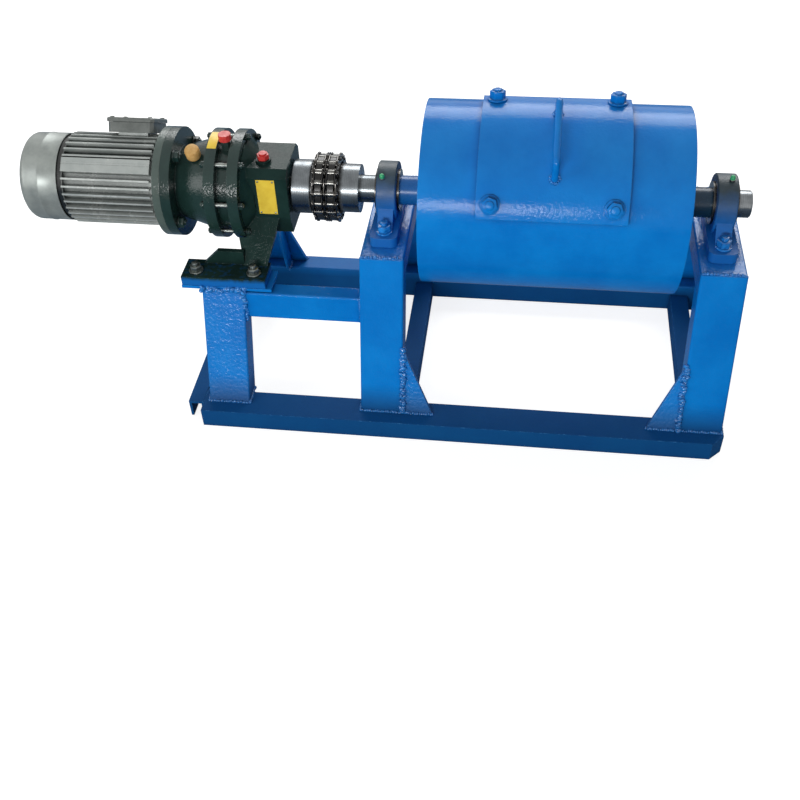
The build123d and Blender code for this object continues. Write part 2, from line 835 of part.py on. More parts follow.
# motor, with its terminal box leaning to the rear
box_up = Vector(0, sin(radians(box_lean)), cos(radians(box_lean)))
box_plane = Plane(origin=((box_left + box_right) / 2, axis_y, axis_z), x_dir=(1, 0, 0), z_dir=box_up)
box_axis = Axis(box_plane.origin, box_up)
with BuildPart() as motor_body:
    with BuildSketch(shaft_plane(motor_seam + 10)):
        Circle(motor_core_radius)
    extrude(amount=shield_left - motor_seam - 10)
    with BuildSketch(shaft_plane(motor_seam + 10)):
        with PolarLocations((motor_core_radius + fin_radius) / 2 - 2, fin_count):
            Rectangle(fin_radius - motor_core_radius + 4, fin_thick)
        with PolarLocations((motor_core_radius + fin_radius) / 2 - 2, 1, start_angle=180 - plate_pad_angle):
            Rectangle(fin_radius - motor_core_radius + 3, plate_pad_width)
    extrude(amount=shield_left - motor_seam - 14)
    with BuildSketch(shaft_plane(motor_seam + seat_gap)):
        Circle(fan_radius - 3)
    extrude(amount=10)
    with BuildSketch(box_plane.offset(motor_core_radius - 2 * box_neck_inset)):
        Rectangle(box_right - box_left - 2 * box_neck_inset, 2 * (box_half_width - box_neck_inset))
    extrude(amount=box_seat - motor_core_radius + 2 * box_neck_inset)
save(motor_body, "motor_body")

with BuildPart() as motor_shield:
    with BuildSketch(turning_plane):
        with BuildLine():
            Polyline(
                (shield_left + seat_gap, 0),
                (shield_left + seat_gap, fin_radius - 2),
                (motor_face - shield_flange, fin_radius - 8),
                (motor_face - shield_flange, ring_radius),
                (motor_face, ring_radius),
                (motor_face, 0),
                close=True,
            )
        make_face()
    revolve(axis=shaft_axis)
save(motor_shield, "motor_end_shield")

with BuildPart() as fan_cover:
    with BuildSketch(turning_plane):
        with BuildLine():
            Polyline(
                (fan_end, 0),
                (fan_end, fan_radius - fan_shoulder),
                (fan_end + 0.29 * fan_shoulder, fan_radius - 0.29 * fan_shoulder),
                (fan_end + fan_shoulder, fan_radius),
                (motor_seam, fan_radius),
                (motor_seam, 0),
                close=True,
            )
        make_face()
    revolve(axis=shaft_axis)
save(fan_cover, "fan_cover")

with BuildPart() as terminal_box:
    with BuildSketch(box_plane.offset(box_seat + seat_gap)):
        Rectangle(box_right - box_left, 2 * box_half_width)
    extrude(amount=box_top - box_lid_thick - box_seat - seat_gap)
    chamfer(terminal_box.edges().filter_by(box_axis), box_corner)
save(terminal_box, "terminal_box")

with BuildPart() as terminal_lid:
    with BuildSketch(box_plane.offset(box_top - box_lid_thick + seat_gap)):
        Rectangle(box_right - box_left + 2 * box_lid_lip, 2 * (box_half_width + box_lid_lip))
    extrude(amount=box_lid_thick - seat_gap)
    chamfer(terminal_lid.edges().filter_by(box_axis), box_corner)
    chamfer(terminal_lid.faces().sort_by(box_axis)[-1].edges(), end_break)
save(terminal_lid, "terminal_box_lid")
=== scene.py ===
import bpy
import bmesh
from math import cos, pi, radians, sin, sqrt, tau
from mathutils import Matrix, Vector


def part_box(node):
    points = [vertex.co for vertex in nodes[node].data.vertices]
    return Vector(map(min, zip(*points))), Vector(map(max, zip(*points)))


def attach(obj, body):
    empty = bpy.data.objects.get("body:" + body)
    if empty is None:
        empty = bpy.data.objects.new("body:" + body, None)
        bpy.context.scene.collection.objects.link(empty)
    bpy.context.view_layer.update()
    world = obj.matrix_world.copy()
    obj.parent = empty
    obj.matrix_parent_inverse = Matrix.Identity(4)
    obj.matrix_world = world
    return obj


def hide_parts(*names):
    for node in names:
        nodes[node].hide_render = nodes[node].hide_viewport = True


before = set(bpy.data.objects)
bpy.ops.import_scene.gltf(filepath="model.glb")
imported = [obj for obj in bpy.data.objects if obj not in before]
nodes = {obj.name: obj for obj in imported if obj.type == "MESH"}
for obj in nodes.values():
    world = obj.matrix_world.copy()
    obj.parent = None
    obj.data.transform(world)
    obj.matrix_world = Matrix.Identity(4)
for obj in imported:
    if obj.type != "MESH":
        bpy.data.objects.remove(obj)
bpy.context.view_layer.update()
mm = 0.001
print("frame loaded:", len(nodes), "nodes")


def corners(box):
    return [Vector(corner) for corner in box]


# the shaft line and main sizes come from the frame, in metres
drumLow, drumHigh = corners(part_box("drum_shell"))
axisY = (drumLow.y + drumHigh.y) / 2
axisZ = (drumLow.z + drumHigh.z) / 2
drumRadius = (drumHigh.y - drumLow.y) / 2


def onShaft(x, radius, degrees):  # angle is measured up from the operator side
    return Vector((x, axisY - radius * cos(radians(degrees)), axisZ + radius * sin(radians(degrees))))


def outward(degrees):
    return Vector((0, -cos(radians(degrees)), sin(radians(degrees))))


def linear(hexColour):
    channels = [int(hexColour[i:i + 2], 16) / 255 for i in (1, 3, 5)]
    bent = [c / 12.92 if c <= 0.04045 else ((c + 0.055) / 1.055) ** 2.4 for c in channels]
    return (*bent, 1.0)


def addNode(tree, kind, settings=None, inputs=None):
    node = tree.nodes.new(kind)
    for name, value in (settings or {}).items():
        setattr(node, name, value)
    for name, value in (inputs or {}).items():
        if isinstance(value, bpy.types.NodeSocket):
            tree.links.new(value, node.inputs[name])
        else:
            node.inputs[name].default_value = value
    return node


# one recipe for coated and bare metal; each finish below switches on its layers, the real surface's and the
# painted shade
# grain and orange peel are drawn coarser than real, so that they show in the render
recipe = {"patchRange": (0.35, 0.68), "glossRange": (0.3, 0.7), "dustRange": (0.35, 1.0),
          "hollowRange": (0.9, 0.3), "edgeRange": (0.995, 0.8), "chipRange": (0.5, 0.62),
          "bumpShare": 0.25, "samples": 6}
plainLook = {"metallic": 0.0, "shine": 0.5, "coat": 0.0, "coatRough": 0.1, "grimeAlone": False}


def fromRange(name):
    return dict(zip(("From Min", "From Max"), recipe[name]))


def makeFinish(name, ownLook):
    look = {**plainLook, **ownLook}
    material = bpy.data.materials.new(name)
    material.use_nodes = True
    tree = material.node_tree
    tree.nodes.clear()
    place = addNode(tree, "ShaderNodeTexCoord").outputs["Object"]
    surface = addNode(tree, "ShaderNodeNewGeometry")
    patch = addNode(tree, "ShaderNodeTexNoise", inputs={
        "Vector": place, "Scale": 1000 / look["patchMm"], "Detail": 5.0, "Roughness": 0.6})
    spread = addNode(tree, "ShaderNodeMapRange", inputs={
        "Value": patch.outputs["Fac"], **fromRange("patchRange")})
    colour = addNode(tree, "ShaderNodeMix", {"data_type": "RGBA"}, {
        0: spread.outputs[0], 6: linear(look["base"]), 7: linear(look["tint"])}).outputs[2]

    if "linesMm" in look:  # tool marks left round a turned piece
        lines = addNode(tree, "ShaderNodeTexWave", {"bands_direction": "X"}, {
            "Vector": place, "Scale": 1000 / look["linesMm"] / 20 * pi, "Distortion": 1.2, "Detail": 3.0})
        colour = addNode(tree, "ShaderNodeMix", {"data_type": "RGBA", "blend_type": "MULTIPLY"}, {
            0: look["lines"], 6: colour, 7: lines.outputs["Color"]}).outputs[2]

    layers = []  # colours laid over the coat, real ones and painted shade, as share and colour, from the lowest up
    if "dust" in look:  # pale film on what faces up
        facing = addNode(tree, "ShaderNodeSeparateXYZ", inputs={0: surface.outputs["Normal"]})
        film = addNode(tree, "ShaderNodeMapRange", inputs={
            "Value": facing.outputs["Z"], "To Max": look["dustShare"], **fromRange("dustRange")})
        film = addNode(tree, "ShaderNodeMath", {"operation": "MULTIPLY"}, {
            0: film.outputs[0], 1: patch.outputs["Fac"]})
        layers.append((film.outputs[0], look["dust"]))

    if "low" in look:  # painted shade: the coat darkens towards the floor
        height = addNode(tree, "ShaderNodeSeparateXYZ", inputs={0: place})
        lowShade = addNode(tree, "ShaderNodeMapRange", inputs={
            "Value": height.outputs["Z"], "To Max": look["lowShadeShare"],
            "From Min": look["lowShadeMm"][1] * mm, "From Max": look["lowShadeMm"][0] * mm})
        layers.append((lowShade.outputs[0], look["low"]))

    if "grime" in look:  # painted shade: darker in corners and between ribs, where ambient occlusion finds them hollow
        hollow = addNode(tree, "ShaderNodeAmbientOcclusion", {
            "samples": recipe["samples"], "only_local": look["grimeAlone"]}, {
            "Distance": look["grimeMm"] * mm})
        depth = addNode(tree, "ShaderNodeMapRange", inputs={
            "Value": hollow.outputs["AO"], "To Max": look["grimeShare"], **fromRange("hollowRange")})
        layers.append((depth.outputs[0], look["grime"]))

    if "worn" in look:  # coat rubbed thin along edges, broken up by a finer noise
        rounded = addNode(tree, "ShaderNodeBevel", {"samples": recipe["samples"]}, {
            "Radius": look["wornMm"] * mm})
        likeness = addNode(tree, "ShaderNodeVectorMath", {"operation": "DOT_PRODUCT"}, {
            0: rounded.outputs[0], 1: surface.outputs["Normal"]})
        breakUp = addNode(tree, "ShaderNodeTexNoise", inputs={
            "Vector": place, "Scale": 1000 / look["chipMm"], "Detail": 6.0, "Roughness": 0.7})
        edge = addNode(tree, "ShaderNodeMapRange", inputs={
            "Value": likeness.outputs["Value"], **fromRange("edgeRange")})
        chips = addNode(tree, "ShaderNodeMapRange", inputs={
            "Value": breakUp.outputs["Fac"], "To Max": look["wornShare"], **fromRange("chipRange")})
        bare = addNode(tree, "ShaderNodeMath", {"operation": "MULTIPLY"}, {
            0: edge.outputs[0], 1: chips.outputs[0]})
        layers.append((bare.outputs[0], look["worn"]))

    metallic = look["metallic"]
    if "spray" in look:  # paint or oil that reached this piece, up to a ragged border
        along = addNode(tree, "ShaderNodeSeparateXYZ", inputs={0: place}).outputs[look["sprayAlong"]]
        ragged = addNode(tree, "ShaderNodeTexNoise", inputs={
            "Vector": place, "Scale": 1000 / look["sprayRagMm"], "Detail": 4.0})
        shifted = addNode(tree, "ShaderNodeMath", {"operation": "MULTIPLY_ADD"}, {
            0: ragged.outputs["Fac"], 1: look["sprayRagMm"] * mm, 2: along})
        sprayed = addNode(tree, "ShaderNodeMapRange", inputs={
            "Value": shifted.outputs[0],
            "From Min": look["sprayNone"] * mm, "From Max": look["sprayFull"] * mm})
        layers.append((sprayed.outputs[0], look["spray"]))
        if metallic > 0:
            metallic = addNode(tree, "ShaderNodeMapRange", inputs={
                "Value": sprayed.outputs[0], "To Min": look["metallic"], "To Max": 0.0}).outputs[0]

    for share, over in layers:
        colour = addNode(tree, "ShaderNodeMix", {"data_type": "RGBA"}, {
            0: share, 6: colour, 7: linear(over)}).outputs[2]

    gloss = addNode(tree, "ShaderNodeMapRange", inputs={
        "Value": patch.outputs["Fac"], **fromRange("glossRange"),
        "To Min": look["rough"][0], "To Max": look["rough"][1]})
    if "low" in look:  # the coat is also duller towards the floor
        gloss = addNode(tree, "ShaderNodeMapRange", inputs={
            "Value": lowShade.outputs[0], "To Min": gloss.outputs[0], "To Max": look["lowRough"]})
    grain = addNode(tree, "ShaderNodeTexNoise", inputs={
        "Vector": place, "Scale": 1000 / look["grainMm"], "Detail": 3.0})
    normal = addNode(tree, "ShaderNodeBump", inputs={
        "Strength": look["grain"], "Height": grain.outputs["Fac"],
        "Distance": look["grainMm"] * mm * recipe["bumpShare"]})
    if "roundMm" in look:  # rolled and cast edges catch the light as a soft line
        soft = addNode(tree, "ShaderNodeBevel", {"samples": recipe["samples"]}, {
            "Radius": look["roundMm"] * mm})
        tree.links.new(soft.outputs[0], normal.inputs["Normal"])
    shader = addNode(tree, "ShaderNodeBsdfPrincipled", inputs={
        "Base Color": colour, "Roughness": gloss.outputs[0], "Metallic": metallic,
        "Specular IOR Level": look["shine"], "Coat Weight": look["coat"], "Coat Roughness": look["coatRough"],
        "Normal": normal.outputs[0]})
    addNode(tree, "ShaderNodeOutputMaterial", inputs={"Surface": shader.outputs[0]})
    return material


looks = {
    # in these finishes the darkening in hollows and the darkening towards the floor are painted shade
    # sprayed alkyd enamel on mild steel: glossy, orange-peel skin, a little thin on edges
    "blueEnamel": {"base": "#0475CC", "tint": "#0A84DA", "patchMm": 90, "rough": (0.09, 0.15), "grainMm": 5,
        "grain": 0.34, "dust": "#7FA3C4", "dustShare": 0.1, "grime": "#062C56", "grimeMm": 14,
        "grimeShare": 0.6, "worn": "#4E9BDD", "wornMm": 2.2, "wornShare": 0.75, "chipMm": 9, "roundMm": 2.5,
        "shine": 0.12, "low": "#04335F", "lowShadeMm": (44, 96), "lowShadeShare": 0.8, "lowRough": 0.8},
    # the same enamel brushed over weld runs: lumpier and shinier
    "weldEnamel": {"base": "#0A66B4", "tint": "#2A92E6", "patchMm": 6, "rough": (0.08, 0.16), "grainMm": 2,
        "grain": 0.5, "grime": "#062C56", "grimeMm": 5, "grimeShare": 0.6, "grimeAlone": True, "shine": 0.6,
        "low": "#04335F", "lowShadeMm": (50, 120), "lowShadeShare": 0.5, "lowRough": 0.5},
    # stoved machine enamel on cast iron: very dark green, wet gloss over a sand-cast skin
    "greenEnamel": {"base": "#182D2A", "tint": "#213A36", "patchMm": 60, "rough": (0.1, 0.17), "grainMm": 4,
        "grain": 0.6, "dust": "#6F7F7A", "dustShare": 0.1, "grime": "#0B1413", "grimeMm": 12,
        "grimeShare": 0.7, "worn": "#71827D", "wornMm": 1.6, "wornShare": 0.5, "chipMm": 6, "roundMm": 2.0,
        "shine": 0.35},
    # hammered grey enamel on the finned motor housing: pale ridges, black valleys of painted shade
    "motorEnamel": {"base": "#A3AAA7", "tint": "#BABFBC", "patchMm": 40, "rough": (0.2, 0.3),
        "metallic": 0.25, "grainMm": 3, "grain": 0.25, "dust": "#A6ABA8", "dustShare": 0.25,
        "grime": "#151A19", "grimeMm": 12, "grimeShare": 0.86, "grimeAlone": True, "worn": "#D0D4D1",
        "wornMm": 1.2, "wornShare": 0.8, "chipMm": 8, "coat": 0.15, "coatRough": 0.2},
    # pressed galvanised sheet: pale, cloudy, half-bright
    "galvanisedSheet": {"base": "#888E8B", "tint": "#9BA19D", "patchMm": 22, "rough": (0.32, 0.46),
        "metallic": 0.4, "grainMm": 2, "grain": 0.08, "grime": "#4A4C49", "grimeMm": 8, "grimeShare": 0.5,
        "grimeAlone": True},
    # dark grey enamel on the sheet-steel terminal box, rubbed paler on its edges
    "boxEnamel": {"base": "#5C615E", "tint": "#737875", "patchMm": 30, "rough": (0.18, 0.3), "grainMm": 3,
        "grain": 0.2, "dust": "#8A8F8E", "dustShare": 0.1, "worn": "#777C7A", "wornMm": 1.4,
        "wornShare": 0.6, "chipMm": 7, "roundMm": 2.0},
    # turned steel: bright, with fine rings from the tool
    "turnedSteel": {"base": "#7B8083", "tint": "#65696C", "patchMm": 18, "rough": (0.2, 0.32),
        "metallic": 1.0, "grainMm": 1.5, "grain": 0.06, "linesMm": 1.6, "lines": 0.16, "grime": "#3A352E",
        "grimeMm": 6, "grimeShare": 0.5, "roundMm": 1.0},
    # heat-treated chain plates under an oil film: brown-black, wet
    "oiledPlates": {"base": "#2B2A28", "tint": "#45423D", "patchMm": 7, "rough": (0.22, 0.36),
        "metallic": 0.9, "grainMm": 1.5, "grain": 0.1, "grime": "#0B0A09", "grimeMm": 4, "grimeShare": 0.7,
        "coat": 0.4, "coatRough": 0.15},
    # rollers and pin ends polished by running
    "polishedRollers": {"base": "#777774", "tint": "#5A5956", "patchMm": 5, "rough": (0.16, 0.28),
        "metallic": 1.0, "grainMm": 1.5, "grain": 0.05, "grime": "#2B2926", "grimeMm": 4,
        "grimeShare": 0.55},
    # sand-cast grey iron housing, oversprayed with the frame's blue below the bore
    "castHousing": {"base": "#2D3A40", "tint": "#3C4B54", "patchMm": 25, "rough": (0.34, 0.5),
        "grainMm": 2.5, "grain": 0.45, "grime": "#1B2222", "grimeMm": 8, "grimeShare": 0.6,
        "spray": "#1568B5", "sprayAlong": "Z", "sprayRagMm": 20, "sprayNone": 446, "sprayFull": 384,
        "roundMm": 1.8, "shine": 0.3},
    # zinc-plated fasteners
    "zincPlate": {"base": "#7A7F7B", "tint": "#979C98", "patchMm": 6, "rough": (0.28, 0.42), "metallic": 1.0,
        "grainMm": 1.2, "grain": 0.1, "grime": "#1F2423", "grimeMm": 4, "grimeShare": 0.7},
    # moulded polyethylene plug
    "redPlug": {"base": "#D23A35", "tint": "#C22F2C", "patchMm": 8, "rough": (0.35, 0.5), "grainMm": 2,
        "grain": 0.12, "grime": "#6E1614", "grimeMm": 4, "grimeShare": 0.4},
    # waxed fibre plug, pale tan
    "tanPlug": {"base": "#C89A55", "tint": "#D8B071", "patchMm": 5, "rough": (0.45, 0.6), "grainMm": 2,
        "grain": 0.3, "grime": "#7A5423", "grimeMm": 4, "grimeShare": 0.4},
    # plain lacquered tag sheet
    "yellowTag": {"base": "#F6D646", "tint": "#ECC838", "patchMm": 14, "rough": (0.32, 0.45), "grainMm": 3,
        "grain": 0.1, "worn": "#A8985A", "wornMm": 0.8, "wornShare": 0.7, "chipMm": 3},
    # green moulded cap on a grease nipple
    "greenCap": {"base": "#2E9C63", "tint": "#3CB277", "patchMm": 4, "rough": (0.35, 0.5), "grainMm": 1.5,
        "grain": 0.1},
    # unlit space behind the fan grille
    "fanShadow": {"base": "#0E0F0F", "tint": "#161717", "patchMm": 20, "rough": (0.7, 0.8), "grainMm": 4,
        "grain": 0.1},
}
# turned steel with paint or oil over one end
sprayedSteel = dict(looks["turnedSteel"], shine=0.3, sprayAlong="X")
looks["shaftSteel"] = dict(sprayedSteel, base="#74797C", tint="#5C6164", spray="#17609F", sprayRagMm=6,
                           sprayNone=26, sprayFull=34)
looks["tailSteel"] = dict(sprayedSteel, base="#83878A", tint="#676B6E", spray="#17364A", sprayRagMm=6,
                          sprayNone=622, sprayFull=612)
# brushed by hand over the welded joints: a thick, pebbled coat
looks["brushedEnamel"] = dict(looks["blueEnamel"], grainMm=6, grain=1.0, shine=0.42, rough=(0.14, 0.22))
# a black band where the fan cowl meets the fins: painted shade of the gap, and oil
looks["motorBody"] = dict(looks["motorEnamel"], spray="#121514", sprayAlong="X", sprayRagMm=1,
                          sprayNone=-573, sprayFull=-576)
# the plug's stem is painted with the gear unit, its head is not
plugHeadMm = 12
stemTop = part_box("ring_oil_plug")[1][2] / mm - plugHeadMm
looks["ringPlug"] = dict(looks["redPlug"], spray="#22332F", sprayAlong="Z", sprayRagMm=1,
                         sprayNone=stemTop + 1, sprayFull=stemTop)
# darker toothed end of each hub, inside the chain: chain oil, and painted shade
looks["gearHubSteel"] = dict(sprayedSteel, spray="#191817", sprayRagMm=5, sprayNone=-122, sprayFull=-114)
looks["drumHubSteel"] = dict(sprayedSteel, spray="#191817", sprayRagMm=5, sprayNone=-58, sprayFull=-66)
# the motor's own shield is a paler grey-green than the gear unit
looks["shieldEnamel"] = dict(looks["greenEnamel"], base="#475550", tint="#586661")
# the gear unit's foot is duller, and the frame's blue has caught its lower edge
looks["gearFootEnamel"] = dict(looks["greenEnamel"], shine=0.05, grain=0.45, dustShare=0.03, spray="#1767B4",
                               sprayAlong="Z", sprayRagMm=10, sprayNone=287, sprayFull=278)
finishes = {name: makeFinish(name, look) for name, look in looks.items()}
print("finishes made:", len(finishes))

# finish of each CAD node, mostly by what it is made of; the painted frame is the rule
nodeFinish = {name: "blueEnamel" for name in nodes}
for finish, names in {
        "brushedEnamel": ("front_left_leg", "front_middle_gusset", "front_right_gusset",
                          "middle_bearing_beam", "right_bearing_beam"),
        "greenEnamel": ("gear_ring_housing", "gear_input_neck"), "gearFootEnamel": ("gear_case",),
        "shieldEnamel": ("motor_end_shield",), "motorBody": ("motor_body",),
        "galvanisedSheet": ("fan_cover",), "boxEnamel": ("terminal_box", "terminal_box_lid"),
        "gearHubSteel": ("gear_side_hub",), "drumHubSteel": ("drum_side_hub",),
        "turnedSteel": ("gear_output_shaft",), "shaftSteel": ("drive_shaft",), "tailSteel": ("tail_shaft",),
        # the bearing rings take the near-black oiled finish as painted shade of the housing bore
        "oiledPlates": ("left_bearing_ring", "right_bearing_ring", "coupling_chain"),
        "castHousing": ("left_bearing_housing", "right_bearing_housing"),
        "ringPlug": ("ring_oil_plug",), "redPlug": ("case_oil_plug",)}.items():
    nodeFinish.update(dict.fromkeys(names, finish))
for name, node in nodes.items():
    finish = finishes[nodeFinish[name]]
    if not node.material_slots:
        node.data.materials.append(finish)
    for slot in node.material_slots:
        slot.material = finish
print("frame dressed")


def inScene(name, data):
    thing = bpy.data.objects.new(name, data)
    bpy.context.scene.collection.objects.link(thing)
    return thing


creaseDegrees = 38  # folds sharper than this stay crisp


def newPiece(name, mesh, body):
    mesh.shade_smooth()
    mesh.set_sharp_from_angle(angle=radians(creaseDegrees))
    piece = inScene(name, mesh)
    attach(piece, body)
    return piece


def meshFrom(build, name, finish=None):
    mesh = bpy.data.meshes.new(name)
    build.to_mesh(mesh)
    build.free()
    if finish:
        mesh.materials.append(finishes[finish])
    return mesh


# runs a node tree on a start mesh and gives back the plain result
def runTree(name, tree, startMesh, values, bevelMm=0.0):
    holder = inScene(name + "Start", startMesh)
    modifier = holder.modifiers.new("shape", "NODES")
    modifier.node_group = tree
    for item in tree.interface.items_tree:
        if item.item_type == "SOCKET" and item.in_out == "INPUT" and item.name in values:
            modifier[item.identifier] = values[item.name]
    if bevelMm:
        bevel = holder.modifiers.new("edges", "BEVEL")
        bevel.width = bevelMm * mm
        bevel.segments = 2
        bevel.limit_method = "ANGLE"
    bpy.context.view_layer.update()
    evaluated = holder.evaluated_get(bpy.context.evaluated_depsgraph_get())
    mesh = bpy.data.meshes.new_from_object(evaluated)
    mesh.name = name
    holder.modifiers.clear()
    bpy.data.objects.remove(holder)
    return mesh


def newTree(name, inputs):
    tree = bpy.data.node_groups.new(name, "GeometryNodeTree")
    tree.interface.new_socket("Geometry", in_out="OUTPUT", socket_type="NodeSocketGeometry")
    tree.interface.new_socket("Geometry", in_out="INPUT", socket_type="NodeSocketGeometry")
    for socketName, kind in inputs.items():
        tree.interface.new_socket(socketName, in_out="INPUT", socket_type="NodeSocket" + kind)
    return tree, addNode(tree, "NodeGroupInput").outputs


def endTree(tree, shape, material):
    real = addNode(tree, "GeometryNodeRealizeInstances", inputs={"Geometry": shape})
    dressed = addNode(tree, "GeometryNodeSetMaterial", inputs={
        "Geometry": real.outputs[0], "Material": material})
    addNode(tree, "NodeGroupOutput", inputs={0: dressed.outputs[0]})


# points that carry a facing direction, for fasteners
def facingPoints(name, spots):
    mesh = bpy.data.meshes.new(name)
    mesh.from_pydata([spot for spot, facing in spots], [], [])
    attribute = mesh.attributes.new("facing", "FLOAT_VECTOR", "POINT")
    for i, (spot, facing) in enumerate(spots):
        attribute.data[i].vector = facing
    return mesh


# hex fastener: washer, six-sided head or nut, stud end
boltTree, given = newTree("hexFastener", {
    "Head Across": "Float", "Head Height": "Float", "Washer Across": "Float", "Washer Height": "Float",
    "Stud Across": "Float", "Stud Height": "Float", "Seed": "Int", "Material": "Material"})
stack = addNode(boltTree, "GeometryNodeJoinGeometry")
reached = 0.0
for name, sides, radiusShare in (("Washer", 24, 0.5), ("Head", 6, 1 / sqrt(3)), ("Stud", 16, 0.5)):
    height = given[name + " Height"]
    radius = addNode(boltTree, "ShaderNodeMath", {"operation": "MULTIPLY"}, {
        0: given[name + " Across"], 1: radiusShare})
    part = addNode(boltTree, "GeometryNodeMeshCylinder", inputs={
        "Vertices": sides, "Radius": radius.outputs[0], "Depth": height})
    middle = addNode(boltTree, "ShaderNodeMath", {"operation": "MULTIPLY_ADD"}, {
        0: height, 1: 0.5, 2: reached})
    lift = addNode(boltTree, "ShaderNodeCombineXYZ", inputs={"Z": middle.outputs[0]})
    raised = addNode(boltTree, "GeometryNodeTransform", inputs={
        "Geometry": part.outputs["Mesh"], "Translation": lift.outputs[0]})
    boltTree.links.new(raised.outputs[0], stack.inputs[0])
    reached = addNode(boltTree, "ShaderNodeMath", {"operation": "ADD"}, {0: reached, 1: height}).outputs[0]
facingValue = addNode(boltTree, "GeometryNodeInputNamedAttribute", {"data_type": "FLOAT_VECTOR"}, {
    "Name": "facing"})
aim = addNode(boltTree, "FunctionNodeAlignRotationToVector", {"axis": "Z"}, {
    "Vector": facingValue.outputs[0]})
spin = addNode(boltTree, "FunctionNodeRandomValue", {"data_type": "FLOAT"}, {
    2: 0.0, 3: pi / 3, "Seed": given["Seed"]})
spinAngles = addNode(boltTree, "ShaderNodeCombineXYZ", inputs={"Z": spin.outputs[1]})
turned = addNode(boltTree, "FunctionNodeRotateRotation", {"rotation_space": "LOCAL"}, {
    "Rotation": aim.outputs[0], "Rotate By": spinAngles.outputs[0]})
placed = addNode(boltTree, "GeometryNodeInstanceOnPoints", inputs={
    "Points": given["Geometry"], "Instance": stack.outputs[0], "Rotation": turned.outputs[0]})
endTree(boltTree, placed.outputs[0], given["Material"])
fastenerBevelMm = 0.7


def fasteners(name, spots, bolt, finish, body):  # sizes are width across and height, in mm
    values = {"Seed": bolt["seed"], "Material": finishes[finish]}
    for part in ("Head", "Washer", "Stud"):
        across, height = bolt[part.lower()]
        values.update({part + " Across": across * mm, part + " Height": height * mm})
    mesh = runTree(name, boltTree, facingPoints(name, spots), values, fastenerBevelMm)
    newPiece(name, mesh, body)


# hatch bolts, painted over with the drum
lid = {"riseMm": 10, "angles": (18.6, 107)}
hatchBolts = {"fromLidEdgeMm": 24, "angles": (27.0, 98.6), "sinkMm": 0.6,
    "head": (24, 13), "washer": (34, 3.5), "stud": (15, 3), "seed": 4}
lidLow, lidHigh = corners(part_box("hatch_lid"))
lidRadius = drumRadius + lid["riseMm"] * mm
spots = []
for x in (lidLow.x + hatchBolts["fromLidEdgeMm"] * mm, lidHigh.x - hatchBolts["fromLidEdgeMm"] * mm):
    for degrees in hatchBolts["angles"]:
        spots.append((onShaft(x, lidRadius - hatchBolts["sinkMm"] * mm, degrees), outward(degrees)))
fasteners("hatchBolts", spots, hatchBolts, "blueEnamel", "rotor")

# bearing bolts: nut, washer and stud through the feet, in the frame's weld enamel
bearingBolts = {"spacingMm": 159, "footMm": 19,
    "head": (22, 12), "washer": (30, 3), "stud": (14, 7), "seed": 7}
up = Vector((0, 0, 1))
spots = []
for name in ("left_bearing_housing", "right_bearing_housing"):
    low, high = corners(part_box(name))
    for side in (-1, 1):
        y = axisY + side * bearingBolts["spacingMm"] / 2 * mm
        spots.append((Vector(((low.x + high.x) / 2, y, low.z + bearingBolts["footMm"] * mm)), up))
fasteners("bearingBolts", spots, bearingBolts, "weldEnamel", "frame")

# gear foot bolts on their plated washers
gearBolts = {"fromEndMm": 24.5, "pitchMm": 109, "edgeMm": 21, "footMm": 19,
    "head": (19, 10), "washer": (27, 2.6), "stud": (12, 6), "seed": 3}
spots = []
caseLow, caseHigh = corners(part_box("gear_case"))
footTop = caseLow.z + gearBolts["footMm"] * mm
for alongMm in (gearBolts["fromEndMm"], gearBolts["fromEndMm"] + gearBolts["pitchMm"]):
    for y in (caseLow.y + gearBolts["edgeMm"] * mm, caseHigh.y - gearBolts["edgeMm"] * mm):
        spots.append((Vector((caseLow.x + alongMm * mm, y, footTop)), up))
fasteners("gearFootBolts", spots, gearBolts, "zincPlate", "frame")

# bolts round the gear ring and the motor flange
ringLow, ringHigh = corners(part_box("gear_ring_housing"))
neckLow = corners(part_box("gear_input_neck"))[0]
ringBolts = {"count": 8, "radiusMm": 92, "firstAngle": 7,
    "head": (12, 6), "washer": (14, 1.4), "stud": (7.2, 2), "seed": 9}
flangeBolts = {"count": 4, "radiusMm": 86, "firstAngle": 63, "flangeMm": 18,
    "head": (18, 9), "washer": (22, 2.2), "stud": (11, 3), "seed": 2}
spots = []
for i in range(ringBolts["count"]):
    degrees = ringBolts["firstAngle"] + i * 360 / ringBolts["count"]
    for x, way in ((ringLow.x, -1), (ringHigh.x, 1)):
        spots.append((onShaft(x, ringBolts["radiusMm"] * mm, degrees), Vector((way, 0, 0))))
fasteners("gearRingBolts", spots, ringBolts, "greenEnamel", "frame")
spots = []
for i in range(flangeBolts["count"]):
    degrees = flangeBolts["firstAngle"] + i * 360 / flangeBolts["count"]
    x = neckLow.x + flangeBolts["flangeMm"] * mm
    spots.append((onShaft(x, flangeBolts["radiusMm"] * mm, degrees), Vector((1, 0, 0))))
fasteners("motorFlangeBolts", spots, flangeBolts, "greenEnamel", "frame")
print("fasteners placed")

